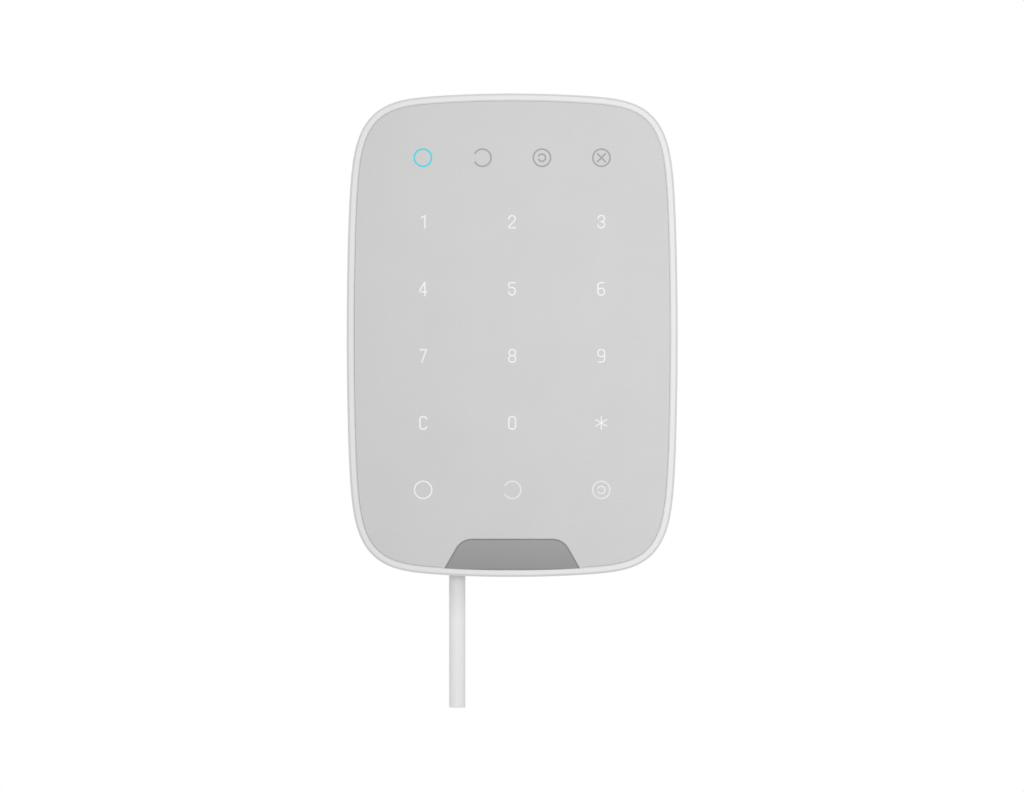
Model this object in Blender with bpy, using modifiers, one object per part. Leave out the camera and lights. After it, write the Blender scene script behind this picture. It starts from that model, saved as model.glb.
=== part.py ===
"""Alarm keypad panel: a touch keypad on a hook-on wall bracket.

X is right, Z is up and the front faces -Y. The origin is the middle of the
bracket's rear face, on the wall. Sizes are in millimetres, and a depth is the
distance from the wall towards the front.
"""

import math

import bmesh
import bpy
from mathutils import Matrix, Vector

MM = 0.001

# Clearances
GAP = 0.3  # between pieces that touch or seat on each other
SLIDE_GAP = 0.5  # beside what slides on the bracket

# Housing outline
WIDTH = 102.7
HEIGHT = 150.0
DEPTH = 14.0
CORNER_X = 10.22  # corner point, in from the side
CORNER_Z = 5.04  # corner point, down from the top
CORNER_TILT = 54.7  # slope of the outline there, degrees
SIDE_EASE = 18.05  # where the side starts to turn, down from the top
TOP_EASE = 17.2  # where the top starts to turn, in from the side
SIDE_PULL = 10.1  # handle from the corner point to the side
TOP_PULL = 3.45  # handle from the corner point to the top
OUTLINE_STEPS = 7

# Front frame
RIM = 1.95  # rim width
RIM_ROUND = 0.7
SKIRT_WALL = 2.2
SKIRT_CLEAR = 0.8  # skirt's back edge to the wall
SKIRT_TAPER = 1.0
LEDGE = 5.0
LEDGE_T = 1.2

# Layers behind the front
PANEL_T = 1.6
PANEL_EDGE = 0.15
FILM_T = 0.3
MASK_T = 1.9
BOARD_T = 1.0
BOARD_SPACE = 4.3  # board's back to the rear cover
COVER_T = 1.6

# Touch keys and lights
KEY_PITCH_X = 27.64
KEY_PITCH_Z = 20.8
KEY_ROWS = 5
LAMP_PITCH_X = 18.46
LAMPS = 4
LAMPS_TO_KEYS = 19.88
ROWS_RAISE = 3.57  # middle of all the rows, above the middle
WELL_R = 3.9
MASK_MARGIN = 1.0
MASK_ROUND = 4.0
LED_SIZE = (3.2, 0.9, 2.8)
LED_LENS_R = 1.1

# Badge at the bottom of the panel
BADGE_HEIGHT = 11.6  # its top edge, up from the bottom
BADGE_TOP_HALF = 16.0
BADGE_FOOT_HALF = 21.0
BADGE_ROUND = 3.7
BADGE_SINK = 0.15

# Rear cover screws
SCREW_EDGE = 6.0
SCREW_TOP_X = 27.0
SCREW_FOOT_X = 30.0
SCREW_R = 0.8
SCREW_HEAD_R = 1.9
SCREW_HEAD_T = 0.8
SCREW_FLOOR = 0.6  # left in front of its hole
HEAD_SINK = 0.1
POST_R = 3.0

# Wall bracket
BRACKET_T = 2.0
BRACKET_GAP = 0.4
BRACKET_SIDE = 6.35
BRACKET_TOP = 8.0
BRACKET_FOOT = 10.0
BRACKET_ROUND = 17.0
LIFT = 6.0  # how far the keypad slides up to come off
HOOK_SIDE = 15.35  # hooks, in from the side
HOOK_TOP = 41.0  # upper hooks, down from the top
HOOK_FOOT = 49.0  # lower hooks, up from the bottom
HOOK_W = 8.0
HOOK_STEM = 2.0
HOOK_LIP = 5.0
HOOK_LIP_T = 1.4
WALL_HOLE_SIDE = 15.35
WALL_HOLE_END = 23.0
WALL_HOLE_R = 2.1
WALL_SLOT = 7.0
WALL_SINK_R = 4.2  # recess for the screw head
WALL_SINK = 0.8
BOX_W = 48.0  # opening over the wall box
BOX_H = 38.0
BOX_TOP = 29.0  # its top edge, down from the top
BOX_ROUND = 5.0

# Fixing screw under the keypad
FIX_DEPTH = 5.0
FIX_R = 1.25
FIX_HEAD_R = 2.4
FIX_HEAD_T = 1.5
FIX_LENGTH = 7.5
TAB_W = 10.0
TAB_T = 2.0
TAB_FOOT = 2.5  # tab's underside, up from the bottom
FIX_BOSS_H = 9.0
FIX_BOSS_WALL = 1.2

# Cable, its bay and the terminals
CABLE_X = -17.17
CABLE_R = 2.55
CABLE_DEPTH = 3.6
CABLE_FREE = 41.0  # how far it hangs below the housing
CABLE_IN = 25.0  # how far the jacket runs in from the bottom
CABLE_STEPS = 6
BAY_W = 22.0
BAY_H = 36.0
BAY_FOOT = 15.0  # up from the bottom
BAY_WALL = 1.2
BAY_SLOPE = 2.0  # of its shoulders, down to the channel
BAY_FLOOR = 0.9
CHANNEL_W = 8.0
WINDOW_MARGIN = 2.0
WINDOW_FOOT = 4.0  # window's lower edge above the bay's
WINDOW_ROUND = 2.0
TERMINALS = 4
TERMINAL_PITCH = 3.5
TERMINAL_FOOT = 42.5  # its middle, up from the bottom
TERMINAL_H = 7.0
TERMINAL_OUT = 1.9  # depth of its screw face
TERMINAL_SCREW_R = 1.15
TERMINAL_SCREW_L = 1.9
TERMINAL_WEB = 0.1  # between a screw's well and its wire mouth
WIRE_R = 0.6
WIRE_SPREAD = 0.75
TIE_T = 0.6
TIE_W = 2.5
TIE_FOOT = 21.0
TIE_HEAD = (3.0, 2.4, 3.5)

# Tamper switch
TAMPER_X = 20.0
TAMPER_FOOT = 45.0
TAMPER_R = 1.5
TAMPER_FLANGE_R = 2.6
TAMPER_FLANGE_T = 0.7
TAMPER_PRESS = 0.5
SWITCH_SIZE = 6.0
SWITCH_T = 0.9
SPRING_WIRE_R = 0.15
SPRING_TURNS = 1.5
PAD_R = 5.0
PAD_SLOT = 0.9
PAD_BRIDGE = 50.0  # degrees left standing between the pad's two slots

# Parts on the back of the board: x, z, width, height, thickness
CHIP = (-12.0, 22.0, 10.0, 10.0, 1.4)
TOUCH_CHIP = (4.0, 38.0, 7.0, 7.0, 1.0)
INDUCTOR = (-16.0, -10.0, 6.6, 6.6, 3.0)
REGULATOR = (6.0, -10.0, 6.5, 3.6, 1.7)
FILM_PLUG = (24.0, 14.0, 4.2)  # x, width, height
FILM_PLUG_DROP = 1.0  # below the light mask
SOUNDER = (14.0, 14.0, 6.2, 3.3)  # x, z, radius, thickness
SOUND_SLOT = 7.0
SOUND_SLOT_R = 0.7
SOUND_PITCH = 2.6
CAPACITOR = (-4.0, -10.0, 3.0, 3.4)

# Depths that follow from the sizes above
PANEL_BACK = DEPTH - PANEL_T
FILM_FRONT = PANEL_BACK - GAP
FILM_BACK = FILM_FRONT - FILM_T
LEDGE_FRONT = FILM_BACK - GAP
LEDGE_BACK = LEDGE_FRONT - LEDGE_T
MASK_BACK = LEDGE_FRONT - MASK_T
BOARD_FRONT = MASK_BACK - GAP
BOARD_BACK = BOARD_FRONT - BOARD_T
COVER_BACK = BRACKET_T + BRACKET_GAP
COVER_FRONT = COVER_BACK + COVER_T
PART_SEAT = BOARD_BACK - GAP
BAY_TOP = CABLE_DEPTH + CABLE_R + GAP  # bay floor's rear face
BAY_FRONT = BAY_TOP + BAY_FLOOR
HOOK_IN = COVER_FRONT + GAP
SCREW_HEAD_IN = COVER_BACK + HEAD_SINK
SCREW_SEAT = SCREW_HEAD_IN + SCREW_HEAD_T
SCREW_HOLE_END = LEDGE_FRONT - SCREW_FLOOR
SCREW_LENGTH = SCREW_HOLE_END - GAP - SCREW_SEAT
HOOK_FRONT = HOOK_IN + HOOK_LIP_T
FIX_WALL = FIX_R + GAP + FIX_BOSS_WALL
TAB_FRONT = FIX_DEPTH + FIX_HEAD_R + GAP

# Insets from the housing outline
PANEL_INSET = RIM + GAP
INNER_INSET = SKIRT_WALL + GAP
LEDGE_INSET = RIM + LEDGE

# Places that follow from the housing's edges
TOP = HEIGHT / 2
FOOT = -HEIGHT / 2
ROWS_SPAN = LAMPS_TO_KEYS + KEY_PITCH_Z * (KEY_ROWS - 1)
LAMPS_Z = ROWS_RAISE + ROWS_SPAN / 2
KEYS_TOP = LAMPS_Z - LAMPS_TO_KEYS
HOOK_X = WIDTH / 2 - HOOK_SIDE
HOOK_HIGH_Z = TOP - HOOK_TOP
HOOK_LOW_Z = FOOT + HOOK_FOOT
WALL_HOLE_X = WIDTH / 2 - WALL_HOLE_SIDE
WALL_HOLE_Z = TOP - WALL_HOLE_END
BOX_HIGH_Z = TOP - BOX_TOP
BOX_LOW_Z = BOX_HIGH_Z - BOX_H
CABLE_END_Z = FOOT + CABLE_IN
BAY_LOW_Z = FOOT + BAY_FOOT
BAY_HIGH_Z = BAY_LOW_Z + BAY_H
TERMINAL_Z = FOOT + TERMINAL_FOOT
TIE_Z = FOOT + TIE_FOOT
TAMPER_Z = FOOT + TAMPER_FOOT

MATERIALS = {
    "housing_white": ("E6E6E5", 0.45, 0.0),
    "cover_white": ("E5E5E3", 0.6, 0.0),
    "bracket_white": ("E3E3E0", 0.6, 0.0),
    "panel_grey": ("CFCFCE", 0.4, 0.0),
    "badge_grey": ("9C9C9B", 0.4, 0.0),
    "adhesive": ("C9CBC6", 0.8, 0.0),
    "film": ("B98A4A", 0.5, 0.0),
    "mask_white": ("F2F2F0", 0.6, 0.0),
    "board_green": ("2F6B45", 0.5, 0.0),
    "connector_ivory": ("E4DEC8", 0.5, 0.0),
    "sounder_black": ("1D1D1F", 0.5, 0.0),
    "chip_black": ("242426", 0.5, 0.0),
    "ferrite_grey": ("4A4B4E", 0.7, 0.0),
    "can_aluminium": ("B9BBBD", 0.3, 1.0),
    "switch_black": ("2A2A2C", 0.5, 0.0),
    "plunger_white": ("EDEDEA", 0.4, 0.0),
    "spring_steel": ("B4B6B8", 0.3, 1.0),
    "terminal_green": ("3F8F5A", 0.5, 0.0),
    "screw_steel": ("C2C4C6", 0.35, 1.0),
    "wire_red": ("B8332E", 0.5, 0.0),
    "wire_black": ("222224", 0.5, 0.0),
    "wire_green": ("3C8C4A", 0.5, 0.0),
    "wire_yellow": ("D9B934", 0.5, 0.0),
    "jacket_white": ("E4E4E3", 0.5, 0.0),
    "tie_white": ("EFEFEA", 0.5, 0.0),
    "led_white": ("F1EFE4", 0.3, 0.0),
}


def clear_scene():
    """Remove every object, and make the two collections."""
    for old in list(bpy.data.objects):
        bpy.data.objects.remove(old, do_unlink=True)
    made = []
    for name in ("alarm_keypad", "cutters"):
        group = bpy.data.collections.new(name)
        bpy.context.scene.collection.children.link(group)
        made.append(group)
    return made


PARTS, CUTTERS = clear_scene()


def linear(value):
    """One sRGB channel, 0 to 255, as a linear value."""
    c = value / 255
    return c / 12.92 if c <= 0.04045 else ((c + 0.055) / 1.055) ** 2.4


def material(name):
    """The named plastic or metal, made once."""
    known = bpy.data.materials.get(name)
    if known:
        return known
    code, roughness, metallic = MATERIALS[name]
    made = bpy.data.materials.new(name)
    made.use_nodes = True
    shader = made.node_tree.nodes["Principled BSDF"]
    colour = [linear(int(code[i : i + 2], 16)) for i in (0, 2, 4)]
    shader.inputs["Base Color"].default_value = (*colour, 1)
    shader.inputs["Roughness"].default_value = roughness
    shader.inputs["Metallic"].default_value = metallic
    return made


# ---------------------------------------------------------------- outlines


def bezier(points, t):
    """A point of a cubic Bezier, and its unit normal to the right of travel."""
    a, b, c, d = (Vector(p) for p in points)
    s = 1 - t
    place = a * s**3 + b * (3 * s * s * t) + c * (3 * s * t * t) + d * t**3
    along = (b - a) * s * s + (c - b) * (2 * s * t) + (d - c) * t * t
    along.normalize()
    return place, Vector((along.y, -along.x))


def quarter():
    """Right upper quarter of the outline, from mid side to mid top."""
    half_w, half_h = WIDTH / 2, HEIGHT / 2
    corner = Vector((half_w - CORNER_X, half_h - CORNER_Z))
    tilt = math.radians(CORNER_TILT)
    along = Vector((-math.sin(tilt), math.cos(tilt)))
    side = [(half_w, 0), (half_w, half_h - SIDE_EASE), corner - along * SIDE_PULL, corner]
    top = [corner, corner + along * TOP_PULL, (half_w - TOP_EASE, half_h), (0, half_h)]
    steps = [i / OUTLINE_STEPS for i in range(OUTLINE_STEPS)]
    points = [bezier(side, 0.15 + 0.85 * t if t else 0) for t in steps]
    points += [bezier(top, t) for t in steps]
    return points + [(Vector((0, half_h)), Vector((0, 1)))]


QUARTER = quarter()


def outline(inset):
    """The whole outline, drawn in by inset, anticlockwise from the right."""
    right = [p - n * inset for p, n in QUARTER]
    upper = right + [Vector((-p.x, p.y)) for p in reversed(right[:-1])]
    lower = [Vector((-p.x, -p.y)) for p in upper[1:-1]]
    return upper + lower


def edge_z(x, inset):
    """Height of the drawn-in outline's top at x."""
    line = sorted(((p - n * inset) for p, n in QUARTER), key=lambda p: p.x)
    for a, b in zip(line, line[1:]):
        if a.x <= abs(x) <= b.x and b.x > a.x:
            return a.y + (b.y - a.y) * (abs(x) - a.x) / (b.x - a.x)
    return line[-1].y


def circle(x, z, radius, sides=20):
    """A round hole or disc."""
    turn = [2 * math.pi * i / sides for i in range(sides)]
    return [Vector((x + radius * math.cos(a), z + radius * math.sin(a))) for a in turn]


def slot(x, z, length, radius, sides=8):
    """A slot along X with round ends."""
    reach = length / 2 - radius
    points = []
    for end, start in ((1, -90), (-1, 90)):
        for i in range(sides + 1):
            a = math.radians(start + 180 * i / sides)
            points.append(Vector((x + end * reach + radius * math.cos(a), z + radius * math.sin(a))))
    return points


def rectangle(x0, x1, z0, z1, radius=0.0, steps=4):
    """A rectangle, with round corners if it has a radius."""
    if not radius:
        return [Vector(p) for p in ((x0, z0), (x1, z0), (x1, z1), (x0, z1))]
    centres = ((x1, z0, -90), (x1, z1, 0), (x0, z1, 90), (x0, z0, 180))
    points = []
    for x, z, start in centres:
        cx = x - math.copysign(radius, x - (x0 + x1) / 2)
        cz = z - math.copysign(radius, z - (z0 + z1) / 2)
        for i in range(steps + 1):
            a = math.radians(start + 90 * i / steps)
            points.append(Vector((cx + radius * math.cos(a), cz + radius * math.sin(a))))
    return points


def arc_slot(x, z, radius, width, start, end, steps=8):
    """A curved slot of the width, centred on the radius."""
    turn = [math.radians(start + (end - start) * i / steps) for i in range(steps + 1)]
    outer, inner = radius + width / 2, radius - width / 2
    far = [Vector((x + outer * math.cos(a), z + outer * math.sin(a))) for a in turn]
    near = [Vector((x + inner * math.cos(a), z + inner * math.sin(a))) for a in reversed(turn)]
    return far + near


def badge_loop(grow, floor):
    """The badge's outline, grown by grow, with its sides run down to floor."""
    rise = BADGE_HEIGHT
    lean = (BADGE_FOOT_HALF - BADGE_TOP_HALF) / rise
    out = grow * math.hypot(1, lean)
    top = FOOT + rise + grow
    half = BADGE_TOP_HALF + out - grow * lean
    foot_half = half + (top - floor) * lean
    tilt = math.atan(lean)
    radius = BADGE_ROUND + grow
    reach = radius * math.tan((math.pi / 2 - tilt) / 2)
    centre = Vector((half - reach, top - radius))
    sweep = [math.pi / 2 - (math.pi / 2 - tilt) * i / 6 for i in range(7)]
    arc = [centre + Vector((math.cos(a), math.sin(a))) * radius for a in sweep]
    right = arc + [Vector((foot_half, floor))]
    left = [Vector((-p.x, p.y)) for p in reversed(right)]
    return left + right


# ------------------------------------------------------------------ solids


def close(bm):
    """Weld the mesh and face it outwards."""
    bmesh.ops.remove_doubles(bm, verts=bm.verts, dist=0.002 * MM)
    bmesh.ops.recalc_face_normals(bm, faces=bm.faces)


def mesh_of(bm, name):
    """A bmesh as mesh data, and the bmesh freed."""
    data = bpy.data.meshes.new(name)
    bm.to_mesh(data)
    bm.free()
    return data


def bake(source, name, matrix=None):
    """The evaluated object as mesh data, welded, and the object removed."""
    bpy.context.scene.collection.objects.link(source)
    graph = bpy.context.evaluated_depsgraph_get()
    data = bpy.data.meshes.new_from_object(source.evaluated_get(graph))
    bm = bmesh.new()
    bm.from_mesh(data)
    bm.transform(matrix or Matrix())
    close(bm)
    bpy.data.meshes.remove(data)
    bpy.data.objects.remove(source)
    return mesh_of(bm, name)


def plate(loops, near, far):
    """A flat piece: its outline and its holes, from depth near to depth far."""
    curve = bpy.data.curves.new("flat", "CURVE")
    curve.dimensions = "2D"
    curve.fill_mode = "BOTH"
    curve.extrude = abs(far - near) / 2 * MM
    for loop in loops:
        spline = curve.splines.new("POLY")
        spline.points.add(len(loop) - 1)
        for point, place in zip(spline.points, loop):
            point.co = (place.x * MM, place.y * MM, 0, 1)
        spline.use_cyclic_u = True
    stand = Matrix.Translation((0, -(near + far) / 2 * MM, 0)) @ Matrix.Rotation(math.pi / 2, 4, "X")
    return bake(bpy.data.objects.new("flat", curve), "plate", stand)


def bar(loop, x0, x1):
    """A straight bar along X, its section given as points of depth and z."""
    curve = bpy.data.curves.new("section", "CURVE")
    curve.dimensions = "2D"
    curve.fill_mode = "BOTH"
    curve.extrude = abs(x1 - x0) / 2 * MM
    spline = curve.splines.new("POLY")
    spline.points.add(len(loop) - 1)
    for point, (depth, z) in zip(spline.points, loop):
        point.co = (depth * MM, z * MM, 0, 1)
    spline.use_cyclic_u = True
    stand = Matrix(((0, 0, -1, (x0 + x1) / 2 * MM), (-1, 0, 0, 0), (0, 1, 0, 0), (0, 0, 0, 1)))
    return bake(bpy.data.objects.new("section", curve), "bar", stand)


def box(x0, x1, near, far, z0, z1, bevel=0.0):
    """A block between depths near and far."""
    bm = bmesh.new()
    bmesh.ops.create_cube(bm, size=1)
    size = Matrix.Diagonal((abs(x1 - x0) * MM, abs(far - near) * MM, abs(z1 - z0) * MM, 1))
    place = Vector((x0 + x1, -(near + far), z0 + z1)) * MM / 2
    bm.transform(Matrix.Translation(place) @ size)
    if bevel:
        bmesh.ops.bevel(bm, geom=bm.edges[:], offset=bevel * MM, segments=1, affect="EDGES")
    return mesh_of(bm, "box")


def peg(x, z, radius, near, far, sides=20):
    """A round bar along Y, from depth near to depth far."""
    bm = bmesh.new()
    length = abs(far - near) * MM
    bmesh.ops.create_cone(
        bm, cap_ends=True, segments=sides, radius1=radius * MM, radius2=radius * MM, depth=length
    )
    turn = Matrix.Rotation(math.pi / 2, 4, "X")
    place = Vector((x, -(near + far) / 2, z)) * MM
    bm.transform(Matrix.Translation(place) @ turn)
    return mesh_of(bm, "peg")


def post(x, depth, radius, z0, z1, sides=20):
    """A round bar along Z."""
    bm = bmesh.new()
    bmesh.ops.create_cone(
        bm, cap_ends=True, segments=sides, radius1=radius * MM, radius2=radius * MM,
        depth=abs(z1 - z0) * MM,
    )
    bm.transform(Matrix.Translation(Vector((x, -depth, (z0 + z1) / 2)) * MM))
    return mesh_of(bm, "post")


def turned(profile, sides=20):
    """A profile of radius and height, top to bottom, turned about Z."""
    bm = bmesh.new()
    line = [bm.verts.new((r * MM, 0, h * MM)) for r, h in profile]
    for a, b in zip(line, line[1:]):
        bm.edges.new((a, b))
    holder = bpy.data.objects.new("profile", mesh_of(bm, "profile"))
    screw = holder.modifiers.new("Screw", "SCREW")
    screw.axis = "Z"
    screw.angle = 2 * math.pi
    screw.steps = screw.render_steps = sides
    screw.use_merge_vertices = True
    screw.merge_threshold = 0.00001
    return bake(holder, "turned")


def tube(points, radius, resolution=2):
    """A round tube through points of x, depth and z, with closed ends."""
    curve = bpy.data.curves.new("line", "CURVE")
    curve.dimensions = "3D"
    curve.bevel_depth = radius * MM
    curve.bevel_resolution = resolution
    curve.use_fill_caps = True
    spline = curve.splines.new("POLY")
    spline.points.add(len(points) - 1)
    for point, (x, depth, z) in zip(spline.points, points):
        point.co = (x * MM, -depth * MM, z * MM, 1)
    return bake(bpy.data.objects.new("line", curve), "tube")


def loft(sections):
    """A ring of skins between outlines, each at its inset and depth, closed on itself."""
    bm = bmesh.new()
    rings = []
    for inset, depth in sections:
        rings.append([bm.verts.new((p.x * MM, -depth * MM, p.y * MM)) for p in outline(inset)])
    count = len(rings[0])
    for a, b in zip(rings, rings[1:] + rings[:1]):
        for i in range(count):
            j = (i + 1) % count
            bm.faces.new((a[i], a[j], b[j], b[i]))
    close(bm)
    return mesh_of(bm, "loft")


def stack(sections):
    """A solid through outlines, each at its inset and depth, closed at both ends."""
    bm = bmesh.new()
    rings = []
    for inset, depth in sections:
        rings.append([bm.verts.new((p.x * MM, -depth * MM, p.y * MM)) for p in outline(inset)])
    count = len(rings[0])
    for a, b in zip(rings, rings[1:]):
        for i in range(count):
            j = (i + 1) % count
            bm.faces.new((a[i], a[j], b[j], b[i]))
    bm.faces.new(rings[0])
    bm.faces.new(rings[-1])
    close(bm)
    return mesh_of(bm, "stack")


def joined(meshes):
    """Several meshes as one."""
    bm = bmesh.new()
    for data in meshes:
        bm.from_mesh(data)
    return mesh_of(bm, "tool")


def node(name, data, surface, origin=(0, 0, 0)):
    """A sub-part with its origin at x, depth and z."""
    place = Vector((origin[0], -origin[1], origin[2])) * MM
    data = data.copy()
    data.transform(Matrix.Translation(-place))
    data.name = name
    data.materials.clear()
    data.materials.append(material(surface))
    data.shade_smooth()
    data.set_sharp_from_angle(angle=math.radians(35))
    made = bpy.data.objects.new(name, data)
    made.location = place
    PARTS.objects.link(made)
    return made


def shape(target, operation, meshes):
    """Join or cut the target with the meshes, as one cutter object."""
    data = joined(meshes)
    inverse = Matrix.Translation(-target.location)
    data.transform(inverse)
    tool = bpy.data.objects.new(f"{target.name}_{operation.lower()}", data)
    tool.location = target.location
    tool.hide_render = True
    tool.display_type = "WIRE"
    CUTTERS.objects.link(tool)
    change = target.modifiers.new(operation.title(), "BOOLEAN")
    change.operation = operation
    change.solver = "EXACT"
    change.object = tool
    return target


def add(target, *meshes):
    return shape(target, "UNION", meshes)


def cut(target, *meshes):
    return shape(target, "DIFFERENCE", meshes)


# --------------------------------------------------------- shared positions


def key_places():
    """Middle of each touch key and bottom ring, row by row."""
    rows = [KEYS_TOP - KEY_PITCH_Z * i for i in range(KEY_ROWS)]
    return [(column * KEY_PITCH_X, z) for z in rows for column in (-1, 0, 1)]


def lamp_places():
    """Middle of each indicator in the top row."""
    first = -(LAMPS - 1) / 2
    return [((first + i) * LAMP_PITCH_X, LAMPS_Z) for i in range(LAMPS)]


def screw_places():
    """Rear cover screws: two at the top, one on each side, two at the bottom."""
    side = WIDTH / 2 - SCREW_EDGE
    top = edge_z(SCREW_TOP_X, SCREW_EDGE)
    low = -edge_z(SCREW_FOOT_X, SCREW_EDGE)
    places = [(SCREW_TOP_X, top), (side, 0), (SCREW_FOOT_X, low)]
    return [(sign * x, z) for x, z in places for sign in (-1, 1)]


def hook_places():
    return [(sign * HOOK_X, z) for z in (HOOK_HIGH_Z, HOOK_LOW_Z) for sign in (-1, 1)]


def terminal_xs():
    first = CABLE_X - (TERMINALS - 1) / 2 * TERMINAL_PITCH
    return [first + TERMINAL_PITCH * i for i in range(TERMINALS)]


# ------------------------------------------------------------------ front


def front_frame():
    """Rim, skirt and the ledge that the panel is bonded to."""
    back = SKIRT_CLEAR
    taper = SKIRT_TAPER
    sections = [
        (taper, back),
        (taper * 0.35, back + (DEPTH - back) * 0.25),
        (0, back + (DEPTH - back) * 0.6),
        (0, DEPTH - RIM_ROUND * 1.8),
        (RIM_ROUND * 0.18, DEPTH - RIM_ROUND * 0.85),
        (RIM_ROUND * 0.5, DEPTH - RIM_ROUND * 0.28),
        (RIM_ROUND, DEPTH),
        (RIM - 0.2, DEPTH),
        (RIM, DEPTH - 0.2),
        (RIM, LEDGE_FRONT),
        (LEDGE_INSET, LEDGE_FRONT),
        (LEDGE_INSET, LEDGE_BACK),
        (SKIRT_WALL, LEDGE_BACK),
        (SKIRT_WALL, back),
    ]
    frame = node("front_frame", loft(sections), "housing_white")
    seat = BOARD_FRONT + GAP
    add(frame, *[peg(x, z, POST_R, seat, LEDGE_FRONT - 0.2) for x, z in screw_places()])
    holes = [peg(x, z, SCREW_R + GAP, seat - 1, SCREW_HOLE_END, 12) for x, z in screw_places()]
    tab_half = TAB_W / 2 + SLIDE_GAP
    notch = box(-tab_half, tab_half, 0, TAB_FRONT + SLIDE_GAP, FOOT - 1, FOOT + SKIRT_WALL + 1)
    cable_r = CABLE_R + GAP
    low, high = FOOT - 1, FOOT + SKIRT_WALL + 1
    throat = box(CABLE_X - cable_r, CABLE_X + cable_r, 0, CABLE_DEPTH, low, high)
    cut(frame, *holes, notch, throat)
    return cut(frame, post(CABLE_X, CABLE_DEPTH, cable_r, low, high))


def front_panel():
    """The flat face, with a notch for the badge."""
    sections = [
        (PANEL_INSET, PANEL_BACK),
        (PANEL_INSET, DEPTH - PANEL_EDGE),
        (PANEL_INSET + PANEL_EDGE, DEPTH),
    ]
    panel = node("front_panel", stack(sections), "panel_grey", (0, DEPTH, 0))
    notch = plate([badge_loop(GAP, FOOT - 2)], PANEL_BACK - 1, DEPTH + 1)
    return cut(panel, notch)


def badge_insert():
    """The bare badge plate, whose foot follows the rim."""
    top = plate([badge_loop(0, FOOT - 2)], PANEL_BACK, DEPTH - BADGE_SINK)
    badge = node("badge_insert", top, "badge_grey")
    body = stack([(PANEL_INSET, PANEL_BACK - 1), (PANEL_INSET, DEPTH + 1)])
    return shape(badge, "INTERSECT", [body])


def panel_adhesive():
    """The bonding ring between the ledge and the panel."""
    loops = [outline(PANEL_INSET + 0.5), outline(LEDGE_INSET - 0.5)]
    return node("panel_adhesive", plate(loops, FILM_BACK, FILM_FRONT), "adhesive")


def touch_film():
    """The electrode film, open over each light."""
    holes = [circle(x, z, WELL_R - 0.4, 10) for x, z in key_places() + lamp_places()]
    loops = [outline(LEDGE_INSET + GAP)] + holes
    return node("touch_film", plate(loops, FILM_BACK, FILM_FRONT), "film")


def mask_foot():
    """Lower edge of the light mask, under the last row of wells."""
    return min(z for _, z in key_places()) - WELL_R - MASK_MARGIN


def light_mask():
    """The block of light wells over the board."""
    places = key_places() + lamp_places()
    wide = max(x for x, _ in places) + WELL_R + MASK_MARGIN
    high = LAMPS_Z + WELL_R + MASK_MARGIN
    wells = [circle(x, z, WELL_R, 12) for x, z in places]
    loops = [rectangle(-wide, wide, mask_foot(), high, MASK_ROUND)] + wells
    return node("light_mask", plate(loops, MASK_BACK, LEDGE_FRONT), "mask_white")


# ------------------------------------------------------------------ board


def main_board():
    """The circuit board, clamped between the cover's posts and the frame."""
    holes = [circle(x, z, SCREW_R + GAP, 12) for x, z in screw_places()]
    loops = [outline(INNER_INSET)] + holes
    return node("main_board", plate(loops, BOARD_BACK, BOARD_FRONT), "board_green")


def leds():
    """One light behind each key, ring and indicator."""
    wide, thick, high = LED_SIZE
    seat = BOARD_FRONT + GAP
    places = [("led_status", place) for place in lamp_places()]
    places += [("led_key", place) for place in key_places()]
    counts = {"led_status": 0, "led_key": 0}
    body = box(-wide / 2, wide / 2, seat, seat + thick - 0.2, -high / 2, high / 2)
    lens = peg(0, 0, LED_LENS_R, seat + 0.2, seat + thick, 12)
    for name, (x, z) in places:
        counts[name] += 1
        made = node(f"{name}_{counts[name]}", body, "led_white")
        add(made, lens)
        made.location += Vector((x, 0, z)) * MM
        made.modifiers[0].object.location = made.location


def block(name, size, surface, lift=0.0):
    """A square part on the back of the board."""
    x, z, wide, high, thick = size
    far = PART_SEAT - lift
    data = box(x - wide / 2, x + wide / 2, far - thick, far, z - high / 2, z + high / 2, 0.15)
    return node(name, data, surface)


def can(name, size, surface):
    """A round part on the back of the board."""
    x, z, radius, thick = size
    profile = [
        (0, thick), (radius - 0.5, thick), (radius, thick - 0.5), (radius, 0.4),
        (radius - 0.2, 0), (0, 0),
    ]
    data = turned(profile)
    stand = Matrix.Rotation(-math.pi / 2, 4, "X")
    data.transform(Matrix.Translation(Vector((x, -PART_SEAT, z)) * MM) @ stand)
    return node(name, data, surface)


def film_connector():
    """The film's connector, on the front of the board below the mask."""
    x, wide, high = FILM_PLUG
    z = mask_foot() - FILM_PLUG_DROP - high / 2
    near, far = BOARD_FRONT + GAP, FILM_BACK - GAP
    data = box(x - wide / 2, x + wide / 2, near, far, z - high / 2, z + high / 2, 0.2)
    return node("film_connector", data, "connector_ivory")


def sounder():
    """The buzzer, with its sound hole."""
    x, z, radius, thick = SOUNDER
    made = can("sounder", SOUNDER, "sounder_black")
    face = PART_SEAT - thick
    return cut(made, peg(x, z, 1.0, face - 1, face + 0.8, 12))


# ------------------------------------------------------------------- rear


def bay_block(grow, near, far, over):
    """The cable bay with its channel down to the edge, grown by a wall."""
    half, channel = BAY_W / 2 + grow, CHANNEL_W / 2 + grow
    foot = -edge_z(abs(CABLE_X) + CHANNEL_W / 2 + BAY_WALL, INNER_INSET) - over
    low, high = BAY_LOW_Z - grow, BAY_HIGH_Z + grow
    right = [(channel, foot), (channel, low - BAY_SLOPE), (half, low), (half, high)]
    left = [(-x, z) for x, z in reversed(right)]
    return plate([[Vector((CABLE_X + x, z)) for x, z in right + left]], near, far)


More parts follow.
